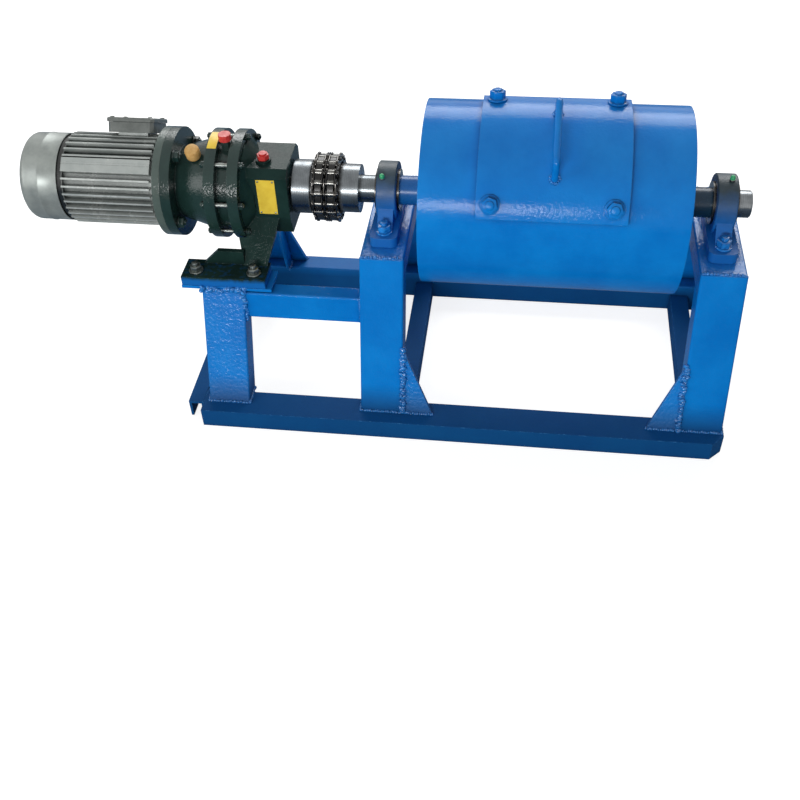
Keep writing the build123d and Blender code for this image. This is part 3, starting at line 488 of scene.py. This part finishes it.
# weld runs: squashed beads stepped along each joint line
weldTree, given = newTree("weldRun", {
    "Bead Radius": "Float", "Bead Step": "Float", "Wander": "Float", "Seed": "Int", "Material": "Material"})
path = addNode(weldTree, "GeometryNodeMeshToCurve", inputs={"Mesh": given["Geometry"]})
steps = addNode(weldTree, "GeometryNodeResampleCurve", {"mode": "LENGTH"}, {
    "Curve": path.outputs[0], "Length": given["Bead Step"]})
tangent = addNode(weldTree, "GeometryNodeInputTangent")
along = addNode(weldTree, "FunctionNodeAlignRotationToVector", {"axis": "X"}, {
    "Vector": tangent.outputs[0]})
bead = addNode(weldTree, "GeometryNodeMeshIcoSphere", inputs={
    "Radius": given["Bead Radius"], "Subdivisions": 2})
way = addNode(weldTree, "FunctionNodeRandomValue", {"data_type": "FLOAT_VECTOR"}, {
    0: (-1, -1, -1), 1: (1, 1, 1), "Seed": given["Seed"]})
shift = addNode(weldTree, "ShaderNodeVectorMath", {"operation": "SCALE"}, {
    0: way.outputs[0], "Scale": given["Wander"]})
shaken = addNode(weldTree, "GeometryNodeSetPosition", inputs={
    "Geometry": steps.outputs[0], "Offset": shift.outputs[0]})
swell = addNode(weldTree, "FunctionNodeRandomValue", {"data_type": "FLOAT_VECTOR"}, {
    0: (0.55, 0.75, 0.75), 1: (0.9, 1.25, 1.2), "Seed": given["Seed"]})
beads = addNode(weldTree, "GeometryNodeInstanceOnPoints", inputs={
    "Points": shaken.outputs[0], "Instance": bead.outputs["Mesh"], "Rotation": along.outputs[0],
    "Scale": swell.outputs[0]})
smooth = addNode(weldTree, "GeometryNodeSetShadeSmooth", inputs={
    "Geometry": addNode(weldTree, "GeometryNodeRealizeInstances", inputs={0: beads.outputs[0]}).outputs[0]})
endTree(weldTree, smooth.outputs[0], given["Material"])


def weldRuns(name, lines, sizes, body):
    mesh = bpy.data.meshes.new(name)
    points, edges = [], []
    for line in lines:
        first = len(points)
        points += line
        edges += [(first + i, first + i + 1) for i in range(len(line) - 1)]
    mesh.from_pydata(points, edges, [])
    values = {"Bead Radius": sizes["beadMm"] * mm, "Bead Step": sizes["stepMm"] * mm,
              "Wander": sizes["wanderMm"] * mm, "Seed": sizes["seed"], "Material": finishes["weldEnamel"]}
    newPiece(name, runTree(name, weldTree, mesh, values), body)


frameWelds = {"beadMm": 3.4, "stepMm": 3.2, "wanderMm": 0.7, "seed": 11, "flangeMm": 43, "gussetTopMm": 8,
              "beamEndMm": 12, "beamSideMm": 4}
lines = []
for name in nodes:
    low, high = corners(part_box(name))
    outside = -1 if name.startswith("front") else 1
    outer, inner = (low.y, high.y) if outside < 0 else (high.y, low.y)
    if name.endswith("_leg"):  # round three sides of each foot
        lines.append([(low.x, outer, low.z), (high.x, outer, low.z)])
        flangeEnd = outer - outside * frameWelds["flangeMm"] * mm
        for x in (low.x, high.x):
            lines.append([(x, outer, low.z), (x, flangeEnd, low.z)])
    if name.endswith("_gusset"):  # up the leg, then along the rail
        legX, tipX = (high.x, low.x) if "right" in name else (low.x, high.x)
        top = inner + outside * frameWelds["gussetTopMm"] * mm
        lines.append([(legX, outer, low.z), (legX, top, high.z)])
        lines.append([(legX, outer, low.z), (tipX, outer, low.z)])
    if name.endswith("_bearing_beam"):  # across both ends
        for y in (low.y + frameWelds["beamEndMm"] * mm, high.y - frameWelds["beamEndMm"] * mm):
            lines.append([(low.x + frameWelds["beamSideMm"] * mm, y, high.z),
                          (high.x - frameWelds["beamSideMm"] * mm, y, high.z)])
railLow, railHigh = corners(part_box("front_upper_rail"))
for x in (railLow.x, railHigh.x):
    lines.append([(x, railLow.y, railLow.z), (x, railLow.y, railHigh.z), (x, railHigh.y, railHigh.z)])
weldRuns("frameWelds", lines, frameWelds, "frame")

# heavier runs, laid by hand where the gear plates meet their legs and down the front seams
heavyWelds = {"beadMm": 5.6, "stepMm": 2.8, "wanderMm": 3.0, "seed": 31, "downMm": 62}
plateLow, plateHigh = corners(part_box("gear_mounting_plates"))
legLow, legHigh = corners(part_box("front_left_leg"))
lines = []
for y in (plateLow.y, plateHigh.y):
    lines.append([(legLow.x, y, plateLow.z), (legHigh.x, y, plateLow.z)])
lines.append([(railLow.x, plateLow.y, plateLow.z), (railLow.x, railLow.y, railHigh.z),
              (railLow.x, railLow.y, railHigh.z - heavyWelds["downMm"] * mm)])
for name in ("front_middle_gusset", "front_right_gusset"):
    low, high = corners(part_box(name))
    legX = high.x if "right" in name else low.x
    top = high.y - frameWelds["gussetTopMm"] * mm
    lines.append([(legX, low.y, low.z), (legX, top, high.z)])
weldRuns("heavyWelds", lines, heavyWelds, "frame")
print("frame welds run")

# drum welds: round both end plates, and where the handle stands on the lid
drumWelds = {"beadMm": 3.0, "stepMm": 3.4, "wanderMm": 0.5, "seed": 23, "insetMm": 6, "wallMm": 8,
             "shaftMm": 27.5, "ringSteps": 96}
ringAngles = [i * 360 / drumWelds["ringSteps"] for i in range(drumWelds["ringSteps"] + 1)]
lines = []
for x in (drumLow.x + drumWelds["insetMm"] * mm, drumHigh.x - drumWelds["insetMm"] * mm):
    for radius in (drumRadius - drumWelds["wallMm"] * mm, drumWelds["shaftMm"] * mm):
        lines.append([onShaft(x, radius, degrees) for degrees in ringAngles])
handleFeet = {"halfSpan": 21, "ringMm": 7.5, "steps": 16}
handleLow, handleHigh = corners(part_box("hatch_handle"))
lidAngle = sum(lid["angles"]) / 2
footAngles = [tau * i / handleFeet["steps"] for i in range(handleFeet["steps"] + 1)]
for degrees in (lidAngle - handleFeet["halfSpan"], lidAngle + handleFeet["halfSpan"]):
    centre = onShaft((handleLow.x + handleHigh.x) / 2, lidRadius, degrees)
    across = outward(degrees + 90)
    lines.append([centre + handleFeet["ringMm"] * mm * (Vector((cos(bend), 0, 0)) + across * sin(bend))
                  for bend in footAngles])
weldRuns("drumWelds", lines, drumWelds, "rotor")


# turned pieces: a profile of (along, radius) pairs in millimetres, swept round a line
def turnedPiece(profile, origin, along, steps=32, build=None):
    build = build or bmesh.new()
    along = along.normalized()
    side = along.orthogonal().normalized()
    other = along.cross(side)
    rings = []
    for heightMm, radiusMm in profile:
        height, radius = heightMm * mm, radiusMm * mm
        if radius == 0:
            rings.append([build.verts.new(origin + along * height)])
            continue
        rings.append([build.verts.new(origin + along * height + side * (radius * cos(tau * i / steps))
                                      + other * (radius * sin(tau * i / steps))) for i in range(steps)])
    for lower, upper in zip(rings, rings[1:]):
        for i in range(steps):
            j = (i + 1) % steps
            around = [lower[i % len(lower)], lower[j % len(lower)],
                      upper[j % len(upper)], upper[i % len(upper)]]
            unique = list(dict.fromkeys(around))
            if len(unique) > 2:
                build.faces.new(unique)
    bmesh.ops.remove_doubles(build, verts=build.verts, dist=1e-6)
    bmesh.ops.recalc_face_normals(build, faces=build.faces)
    return build


# grease nipples with green caps, on the shoulder of each bearing housing
nipples = {"base": [(-1, 0), (-1, 5), (3, 5), (4, 4), (4, 0)],
           "cap": [(3.6, 0), (3.6, 4.6), (8, 4.4), (10, 3), (11, 0)],
           "base finish": ("zincPlate", "machined_steel"), "cap finish": ("greenCap", "red_plastic"),
           "places": {"left_bearing_housing": (56, -7), "right_bearing_housing": (82, 6)},
           "sinkMm": 0.3, "steps": 20}
for name, (degrees, alongMm) in nipples["places"].items():
    low, high = corners(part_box(name))
    housingRadius = high.z - axisZ
    spot = onShaft((low.x + high.x) / 2 + alongMm * mm, housingRadius - nipples["sinkMm"] * mm, degrees)
    for part in ("base", "cap"):
        finish, slotName = nipples[part + " finish"]
        build = turnedPiece(nipples[part], spot, outward(degrees), nipples["steps"])
        pieceName = name.replace("bearing_housing", "nipple_" + part)
        newPiece(pieceName, meshFrom(build, pieceName, finish), "frame")

# tan plug on the input neck, leaning out towards the operator
tanPlug = {"profile": [(-4, 0), (-4, 9), (5, 9), (5, 12.5), (7, 13.5), (21, 13.5), (24, 12), (25.5, 7),
                       (26, 0)],
           "xMm": -329, "angle": 67, "neckMm": 76, "steps": 28}
spot = onShaft(tanPlug["xMm"] * mm, tanPlug["neckMm"] * mm, tanPlug["angle"])
build = turnedPiece(tanPlug["profile"], spot, outward(tanPlug["angle"]), tanPlug["steps"])
newPiece("neckPlug", meshFrom(build, "neckPlug", "tanPlug"), "frame")
print("plugs and nipples set")


# thin tags: a plain sheet laid on a round or flat face
def tagMesh(name, corner, tag):
    rows, cols = tag["grid"]
    build = bmesh.new()
    grid = [[build.verts.new(corner(r / rows, c / cols)) for c in range(cols + 1)] for r in range(rows + 1)]
    for r in range(rows):
        for c in range(cols):
            build.faces.new((grid[r][c], grid[r][c + 1], grid[r + 1][c + 1], grid[r + 1][c]))
    bmesh.ops.recalc_face_normals(build, faces=build.faces)
    bmesh.ops.solidify(build, geom=build.faces[:], thickness=tag["thickMm"] * mm)
    bmesh.ops.recalc_face_normals(build, faces=build.faces)
    return meshFrom(build, name, "yellowTag")


ringTag = {"fromAngle": 69, "toAngle": 96, "liftMm": 0.3, "thickMm": 0.6, "insetMm": 1.5, "widthMm": 17,
           "grid": (16, 4)}
tagRadius = (ringHigh.z - ringLow.z) / 2 + ringTag["liftMm"] * mm


def onRing(u, v):
    degrees = ringTag["fromAngle"] + u * (ringTag["toAngle"] - ringTag["fromAngle"])
    return onShaft(ringLow.x + (ringTag["insetMm"] + v * ringTag["widthMm"]) * mm, tagRadius, degrees)


newPiece("ringTag", tagMesh("ringTag", onRing, ringTag), "frame")

caseTag = {"fromMm": (-214, 437), "sizeMm": (34, 71), "liftMm": 0.3, "thickMm": 0.6, "halfCaseMm": 58,
           "grid": (2, 2)}
tagFace = axisY - (caseTag["halfCaseMm"] + caseTag["liftMm"]) * mm


def onCase(u, v):
    x = caseTag["fromMm"][0] + v * caseTag["sizeMm"][0]
    z = caseTag["fromMm"][1] - u * caseTag["sizeMm"][1]
    return Vector((x * mm, tagFace, z * mm))


newPiece("caseTag", tagMesh("caseTag", onCase, caseTag), "frame")
tagRivets = {"insetMm": 3.5, "profile": [(0, 1.9), (0.5, 1.8), (1.0, 1.1), (1.2, 0)], "steps": 12}
rivetBuild = bmesh.new()
rivetSpan = [(share * (1 - 2 * tagRivets["insetMm"] / size) + tagRivets["insetMm"] / size)
             for size in caseTag["sizeMm"] for share in (0, 1)]
for u in rivetSpan[2:]:
    for v in rivetSpan[:2]:
        turnedPiece(tagRivets["profile"], onCase(u, v) - Vector((0, caseTag["thickMm"] * mm, 0)),
                    Vector((0, -1, 0)), tagRivets["steps"], rivetBuild)
newPiece("caseTagRivets", meshFrom(rivetBuild, "caseTagRivets", "zincPlate"), "frame")
print("tags laid")

# copies of one shape round the shaft, in rows along it
ringTree, given = newTree("copiesRound", {
    "Shape": "Object", "Count": "Int", "Radius": "Float", "First Angle": "Float", "Turn": "Vector",
    "Material": "Material"})
circle = addNode(ringTree, "GeometryNodeMeshCircle", inputs={
    "Vertices": given["Count"], "Radius": given["Radius"]})
shape = addNode(ringTree, "GeometryNodeObjectInfo", inputs={"Object": given["Shape"]})
index = addNode(ringTree, "GeometryNodeInputIndex")
share = addNode(ringTree, "ShaderNodeMath", {"operation": "DIVIDE"}, {0: index.outputs[0], 1: given["Count"]})
angle = addNode(ringTree, "ShaderNodeMath", {"operation": "MULTIPLY"}, {0: share.outputs[0], 1: tau})
roundTurn = addNode(ringTree, "ShaderNodeCombineXYZ", inputs={"Z": angle.outputs[0]})
copies = addNode(ringTree, "GeometryNodeInstanceOnPoints", inputs={
    "Points": circle.outputs[0], "Instance": shape.outputs["Geometry"], "Rotation": roundTurn.outputs[0]})
firstTurn = addNode(ringTree, "ShaderNodeCombineXYZ", inputs={"Z": given["First Angle"]})
started = addNode(ringTree, "GeometryNodeTransform", inputs={
    "Geometry": copies.outputs[0], "Rotation": firstTurn.outputs[0]})
rows = addNode(ringTree, "GeometryNodeInstanceOnPoints", inputs={
    "Points": given["Geometry"], "Instance": started.outputs[0], "Rotation": given["Turn"]})
endTree(ringTree, rows.outputs[0], given["Material"])
# local z lies along the shaft, local x to the rear, local y up
shaftTurn = Matrix(((0, 0, 1), (1, 0, 0), (0, 1, 0))).to_euler()


def copiesRound(name, build, rowsX, sizes, finish, body):
    shapeObject = inScene(name + "Shape", meshFrom(build, name + "Shape"))
    start = bpy.data.meshes.new(name + "Rows")
    start.from_pydata([(x, axisY, axisZ) for x in rowsX], [], [])
    values = {"Shape": shapeObject, "Count": sizes["count"], "Radius": sizes["radius"],
              "First Angle": radians(sizes["firstAngle"]), "Turn": tuple(shaftTurn),
              "Material": finishes[finish]}
    mesh = runTree(name, ringTree, start, values)
    bpy.data.objects.remove(shapeObject)
    return newPiece(name, mesh, body)


# roller chain: waisted plates, round rollers, pins with broken ends
chain = {"teeth": 18, "pitchMm": 19.05, "strandMm": 22.8, "innerMm": 12.6, "wallMm": 2.4, "plateMm": 16.5,
         "waist": 0.74, "rollerMm": 5.95, "pinMm": 2.9, "pinLengthMm": 50, "bevelMm": 0.5,
         "endSteps": 9, "endDegrees": 100, "rollerEdgeMm": 0.5, "rollerSteps": 18, "pinEdgeMm": 0.8,
         "pinSteps": 12}
chainLow, chainHigh = corners(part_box("coupling_chain"))
chainMid = (chainLow.x + chainHigh.x) / 2
pitchRadius = chain["pitchMm"] / 2 / sin(pi / chain["teeth"])
linkRadius = pitchRadius * cos(pi / chain["teeth"])


def linkPlate():
    build = bmesh.new()
    outline = []
    for end in (1, -1):
        for i in range(chain["endSteps"]):
            degrees = -chain["endDegrees"] + 2 * chain["endDegrees"] * i / (chain["endSteps"] - 1)
            outline.append((-end * chain["plateMm"] / 2 * sin(radians(degrees)),
                            end * (chain["pitchMm"] / 2 + chain["plateMm"] / 2 * cos(radians(degrees)))))
        outline.append((-end * chain["plateMm"] / 2 * chain["waist"], 0))
    face = build.faces.new([build.verts.new((x * mm, y * mm, 0)) for x, y in outline])
    top = bmesh.ops.extrude_face_region(build, geom=[face])["geom"]
    raised = [part for part in top if isinstance(part, bmesh.types.BMVert)]
    bmesh.ops.translate(build, verts=raised, vec=(0, 0, chain["wallMm"] * mm))
    bmesh.ops.recalc_face_normals(build, faces=build.faces)
    rim = [edge for edge in build.edges if len({round(vert.co.z, 6) for vert in edge.verts}) == 1]
    bmesh.ops.bevel(build, geom=rim, offset=chain["bevelMm"] * mm, segments=1, affect="EDGES")
    return build


linkAngle = 360 / chain["teeth"]
innerOut = chain["innerMm"] / 2 + chain["wallMm"]
halfStrand = chain["strandMm"] / 2
innerRows, outerRows = [], [chainMid - chain["wallMm"] / 2 * mm]
for strand in (-halfStrand, halfStrand):
    innerRows += [chainMid + (strand - innerOut) * mm, chainMid + (strand + chain["innerMm"] / 2) * mm]
outerRows += [chainMid - (halfStrand + innerOut + chain["wallMm"]) * mm,
              chainMid + (halfStrand + innerOut) * mm]
half = chain["teeth"] // 2
innerPlates = copiesRound("chainInnerPlates", linkPlate(), innerRows, {
    "count": half, "radius": linkRadius * mm, "firstAngle": linkAngle / 2},
    "oiledPlates", "rotor")
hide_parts("coupling_chain")
copiesRound("chainOuterPlates", linkPlate(), outerRows, {
    "count": half, "radius": linkRadius * mm, "firstAngle": linkAngle * 1.5},
    "oiledPlates", "rotor")


# half the outline of a rod with broken ends, centred on its own length
def rodProfile(half, radius, edge):
    return [(-half, 0), (-half, radius - edge), (edge - half, radius), (half - edge, radius),
            (half, radius - edge), (half, 0)]


rollerProfile = rodProfile(chain["innerMm"] / 2, chain["rollerMm"], chain["rollerEdgeMm"])
copiesRound("chainRollers", turnedPiece(rollerProfile, Vector(), up, chain["rollerSteps"]),
            [chainMid - halfStrand * mm, chainMid + halfStrand * mm], {
                "count": chain["teeth"], "radius": pitchRadius * mm, "firstAngle": 0},
            "polishedRollers", "rotor")
pinProfile = rodProfile(chain["pinLengthMm"] / 2, chain["pinMm"], chain["pinEdgeMm"])
copiesRound("chainPins", turnedPiece(pinProfile, Vector(), up, chain["pinSteps"]), [chainMid], {
    "count": chain["teeth"], "radius": pitchRadius * mm, "firstAngle": 0},
    "polishedRollers", "rotor")
print("chain joined")

# through bolts that show in the recess of the gear ring
recess = {"flangeMm": 20, "shankMm": 4.5, "sinkMm": 0.5, "steps": 14}
shankLength = (ringHigh.x - ringLow.x) / mm - 2 * recess["flangeMm"]
shankEnds = (-recess["sinkMm"], shankLength + recess["sinkMm"])
shankProfile = [(shankEnds[0], 0), (shankEnds[0], recess["shankMm"]), (shankEnds[1], recess["shankMm"]),
                (shankEnds[1], 0)]
copiesRound("gearRingShanks", turnedPiece(shankProfile, Vector(), up, recess["steps"]),
            [ringLow.x + recess["flangeMm"] * mm], {
                "count": ringBolts["count"], "radius": ringBolts["radiusMm"] * mm,
                "firstAngle": 180 - ringBolts["firstAngle"]}, "zincPlate", "frame")

# fan cowl: pressed shell with a raised rib, an open grille at its end and the dark fan space behind
coverLow, coverHigh = corners(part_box("fan_cover"))
cowl = {"radiusMm": 81, "sheetMm": 1.6, "shoulderMm": 15, "shoulderSteps": 6, "innerSheets": 1.5,
        "mouthMm": 61, "ribMm": 0.9, "ribAtMm": 36, "ribFootMm": 3, "ribTopMm": 1.5, "steps": 72,
        "bossMm": 17, "barCount": 28, "barMm": (3.0, 1.8), "barLapMm": 1, "hoopsMm": (31, 46), "hoopMm": 2.4,
        "depthMm": 9, "backMm": 1, "backGapMm": 8}
cowlLength = (coverHigh.x - coverLow.x) / mm
outer = cowl["radiusMm"]
shoulder = cowl["shoulderMm"]
ribAt, ribFoot, ribTop = cowl["ribAtMm"], cowl["ribFootMm"], cowl["ribTopMm"]
ribOuter = outer + cowl["ribMm"]
profile = [(0, outer - cowl["sheetMm"]), (0, outer), (ribAt - ribFoot, outer), (ribAt - ribTop, ribOuter),
           (ribAt + ribTop, ribOuter), (ribAt + ribFoot, outer)]
for i in range(cowl["shoulderSteps"] + 1):
    bend = radians(90 * i / cowl["shoulderSteps"])
    profile.append((cowlLength - shoulder + shoulder * sin(bend), outer - shoulder + shoulder * cos(bend)))
profile += [(cowlLength, cowl["mouthMm"]), (cowlLength - cowl["sheetMm"], cowl["mouthMm"]),
            (cowlLength - cowl["sheetMm"], outer - shoulder),
            (cowlLength - shoulder, outer - cowl["sheetMm"] * cowl["innerSheets"]),
            (0, outer - cowl["sheetMm"])]
seam = Vector((coverHigh.x, axisY, axisZ))
backward = Vector((-1, 0, 0))
build = turnedPiece(profile, seam, backward, cowl["steps"])
gratingLow = cowlLength - cowl["barMm"][1]
for hoop in cowl["hoopsMm"]:
    inner, wide = hoop - cowl["hoopMm"] / 2, hoop + cowl["hoopMm"] / 2
    turnedPiece([(gratingLow, inner), (cowlLength, inner), (cowlLength, wide), (gratingLow, wide),
                 (gratingLow, inner)], seam, backward, cowl["steps"], build)
turnedPiece([(gratingLow, 0), (gratingLow, cowl["bossMm"]), (cowlLength, cowl["bossMm"]),
             (cowlLength, 0)], seam, backward, cowl["steps"], build)
fanCowl = newPiece("fanCowl", meshFrom(build, "fanCowl", "galvanisedSheet"), "frame")
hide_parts("fan_cover")
bar = bmesh.new()
bmesh.ops.create_cube(bar, size=1)
barLength = cowl["mouthMm"] + cowl["barLapMm"] - cowl["bossMm"]
bmesh.ops.scale(bar, verts=bar.verts, vec=(barLength * mm, cowl["barMm"][0] * mm, cowl["barMm"][1] * mm))
copiesRound("fanGrille", bar, [coverLow.x + cowl["barMm"][1] / 2 * mm], {
    "count": cowl["barCount"], "radius": (cowl["bossMm"] + barLength / 2) * mm, "firstAngle": 0},
    "galvanisedSheet", "frame")
backTop = cowlLength - cowl["depthMm"]
backLow = backTop - cowl["backMm"]
backRadius = outer - cowl["backGapMm"]
build = turnedPiece([(backLow, 0), (backLow, backRadius), (backTop, backRadius), (backTop, 0)],
                    seam, backward, cowl["steps"])
newPiece("fanSpace", meshFrom(build, "fanSpace", "fanShadow"), "frame")
print("fan cowl pressed")

# screws in the terminal box lid, which leans to the rear
lidScrews = {"lean": 30, "topMm": 112, "midXMm": -457, "spreadMm": (36, 32),
    "head": (7, 1.4), "washer": (9.2, 0.5), "stud": (3.2, 0.2), "seed": 5}
lidUp = outward(90 + lidScrews["lean"])
lidAcross = outward(lidScrews["lean"])
lidMid = onShaft(lidScrews["midXMm"] * mm, lidScrews["topMm"] * mm, 90 + lidScrews["lean"])
spots = []
spreadX, spreadAcross = (spread * mm for spread in lidScrews["spreadMm"])
for way in (-1, 1):
    for side in (-1, 1):
        shift = Vector((way * spreadX, 0, 0)) + lidAcross * (side * spreadAcross)
        spots.append((lidMid + shift, lidUp))
fasteners("terminalLidScrews", spots, lidScrews, "zincPlate", "frame")

# camera: the photograph's own place and lens, worked back from the machine's edges
camera = {"place": (0.2633, -1.5716, 1.4177), "yaw": -0.1574, "pitch": -0.7612, "roll": -0.0460,
          "focalPixels": 1020.53, "centre": (394.56, 387.90), "picture": 800, "sensorMm": 36,
          "clipEnd": 50}
yaw, pitch, roll = camera["yaw"], camera["pitch"], camera["roll"]
gaze = Vector((sin(yaw) * cos(pitch), cos(yaw) * cos(pitch), sin(pitch)))
level = Vector((cos(yaw), -sin(yaw), 0))
tall = level.cross(gaze)
right = cos(roll) * level + sin(roll) * tall
top = -sin(roll) * level + cos(roll) * tall
lens = bpy.data.cameras.new("photoCamera")
lens.sensor_width = camera["sensorMm"]
lens.lens = camera["focalPixels"] / camera["picture"] * camera["sensorMm"]
lens.shift_x = (camera["picture"] / 2 - camera["centre"][0]) / camera["picture"]
lens.shift_y = (camera["centre"][1] - camera["picture"] / 2) / camera["picture"]
lens.clip_end = camera["clipEnd"]
photoCamera = inScene("photoCamera", lens)
turn = Matrix((right, top, -gaze)).transposed()
photoCamera.matrix_world = Matrix.Translation(Vector(camera["place"])) @ turn.to_4x4()
bpy.context.scene.camera = photoCamera

# plain pale floor: it keeps the shadow near the machine, goes to white further out, and looks darker in
# reflections, so that gloss paint facing down stays dark
floor = {"halfWidth": 14.0, "colour": "#B4B4B2", "mirrorColour": "#4C6880", "rough": 0.8, "nearGlow": 0.8,
         "farGlow": 0.97, "fade": (0.7, 2.6), "mirrorGlow": 0.05}
build = bmesh.new()
bmesh.ops.create_grid(build, x_segments=1, y_segments=1, size=floor["halfWidth"])
floorMesh = meshFrom(build, "floor")
floorPaint = bpy.data.materials.new("palePaintedFloor")
floorPaint.use_nodes = True
floorTree = floorPaint.node_tree
floorTree.nodes.clear()
ray = addNode(floorTree, "ShaderNodeLightPath")
seen = addNode(floorTree, "ShaderNodeMath", {"operation": "MAXIMUM"}, {
    0: ray.outputs["Is Camera Ray"], 1: ray.outputs["Is Transmission Ray"]})
place = addNode(floorTree, "ShaderNodeTexCoord").outputs["Object"]
distance = addNode(floorTree, "ShaderNodeVectorMath", {"operation": "LENGTH"}, {0: place})
whiteness = addNode(floorTree, "ShaderNodeMapRange", inputs={
    "Value": distance.outputs["Value"], "From Min": floor["fade"][0], "From Max": floor["fade"][1],
    "To Min": floor["nearGlow"], "To Max": floor["farGlow"]})
mirrored = addNode(floorTree, "ShaderNodeMath", {"operation": "MULTIPLY"}, {
    0: ray.outputs["Is Glossy Ray"], 1: floor["mirrorGlow"]})
strength = addNode(floorTree, "ShaderNodeMath", {"operation": "MULTIPLY_ADD"}, {
    0: seen.outputs[0], 1: whiteness.outputs[0], 2: mirrored.outputs[0]})
shown = addNode(floorTree, "ShaderNodeMix", {"data_type": "RGBA"}, {
    0: ray.outputs["Is Glossy Ray"], 6: linear(floor["colour"]), 7: linear(floor["mirrorColour"])})
paint = addNode(floorTree, "ShaderNodeBsdfPrincipled", inputs={
    "Base Color": shown.outputs[2], "Roughness": floor["rough"]})
white = addNode(floorTree, "ShaderNodeEmission", inputs={
    "Color": (1, 1, 1, 1), "Strength": strength.outputs[0]})
mixed = addNode(floorTree, "ShaderNodeAddShader", inputs={0: paint.outputs[0], 1: white.outputs[0]})
addNode(floorTree, "ShaderNodeOutputMaterial", inputs={"Surface": mixed.outputs[0]})
floorMesh.materials.append(floorPaint)
floorPiece = inScene("floor", floorMesh)

# soft studio light: a key in front, a long strip behind that draws the sheen on the drum, and a fill from
# the left
lamps = {
    "front": {"place": (-0.3, -3.3, 1.35), "aim": (0.0, 0.0, 0.3), "size": (1.5, 0.45), "watts": 60},
    "backStrip": {"place": (0.2, 2.3, 2.1), "aim": (0.15, 0.0, 0.5), "size": (3.2, 1.3), "watts": 80},
    "side": {"place": (-2.8, -1.8, 1.3), "aim": (0.0, 0.0, 0.3), "size": (1.6, 1.6), "watts": 24},
}
for name, lamp in lamps.items():
    panel = bpy.data.lights.new(name, "AREA")
    panel.shape = "RECTANGLE"
    panel.size, panel.size_y = lamp["size"]
    panel.energy = lamp["watts"]
    light = inScene(name, panel)
    light.location = lamp["place"]
    beam = Vector(lamp["aim"]) - Vector(lamp["place"])
    light.rotation_euler = beam.to_track_quat("-Z", "Y").to_euler()

# world: even sky light, white where the camera or a reflection looks straight at it
sky = {"lightStrength": 0.2}
world = bpy.data.worlds.new("studio")
bpy.context.scene.world = world
world.use_nodes = True
skyTree = world.node_tree
skyTree.nodes.clear()
ray = addNode(skyTree, "ShaderNodeLightPath")
direct = addNode(skyTree, "ShaderNodeMath", {"operation": "MAXIMUM"}, {
    0: ray.outputs["Is Camera Ray"], 1: ray.outputs["Is Glossy Ray"]})
seen = addNode(skyTree, "ShaderNodeMath", {"operation": "MAXIMUM"}, {
    0: direct.outputs[0], 1: ray.outputs["Is Transmission Ray"]})
strength = addNode(skyTree, "ShaderNodeMapRange", inputs={
    "Value": seen.outputs[0], "To Min": sky["lightStrength"], "To Max": 1.0})
glow = addNode(skyTree, "ShaderNodeBackground", inputs={
    "Color": (1, 1, 1, 1), "Strength": strength.outputs[0]})
addNode(skyTree, "ShaderNodeOutputWorld", inputs={"Surface": glow.outputs[0]})
bpy.context.scene.view_settings.view_transform = "Standard"
print("studio set")
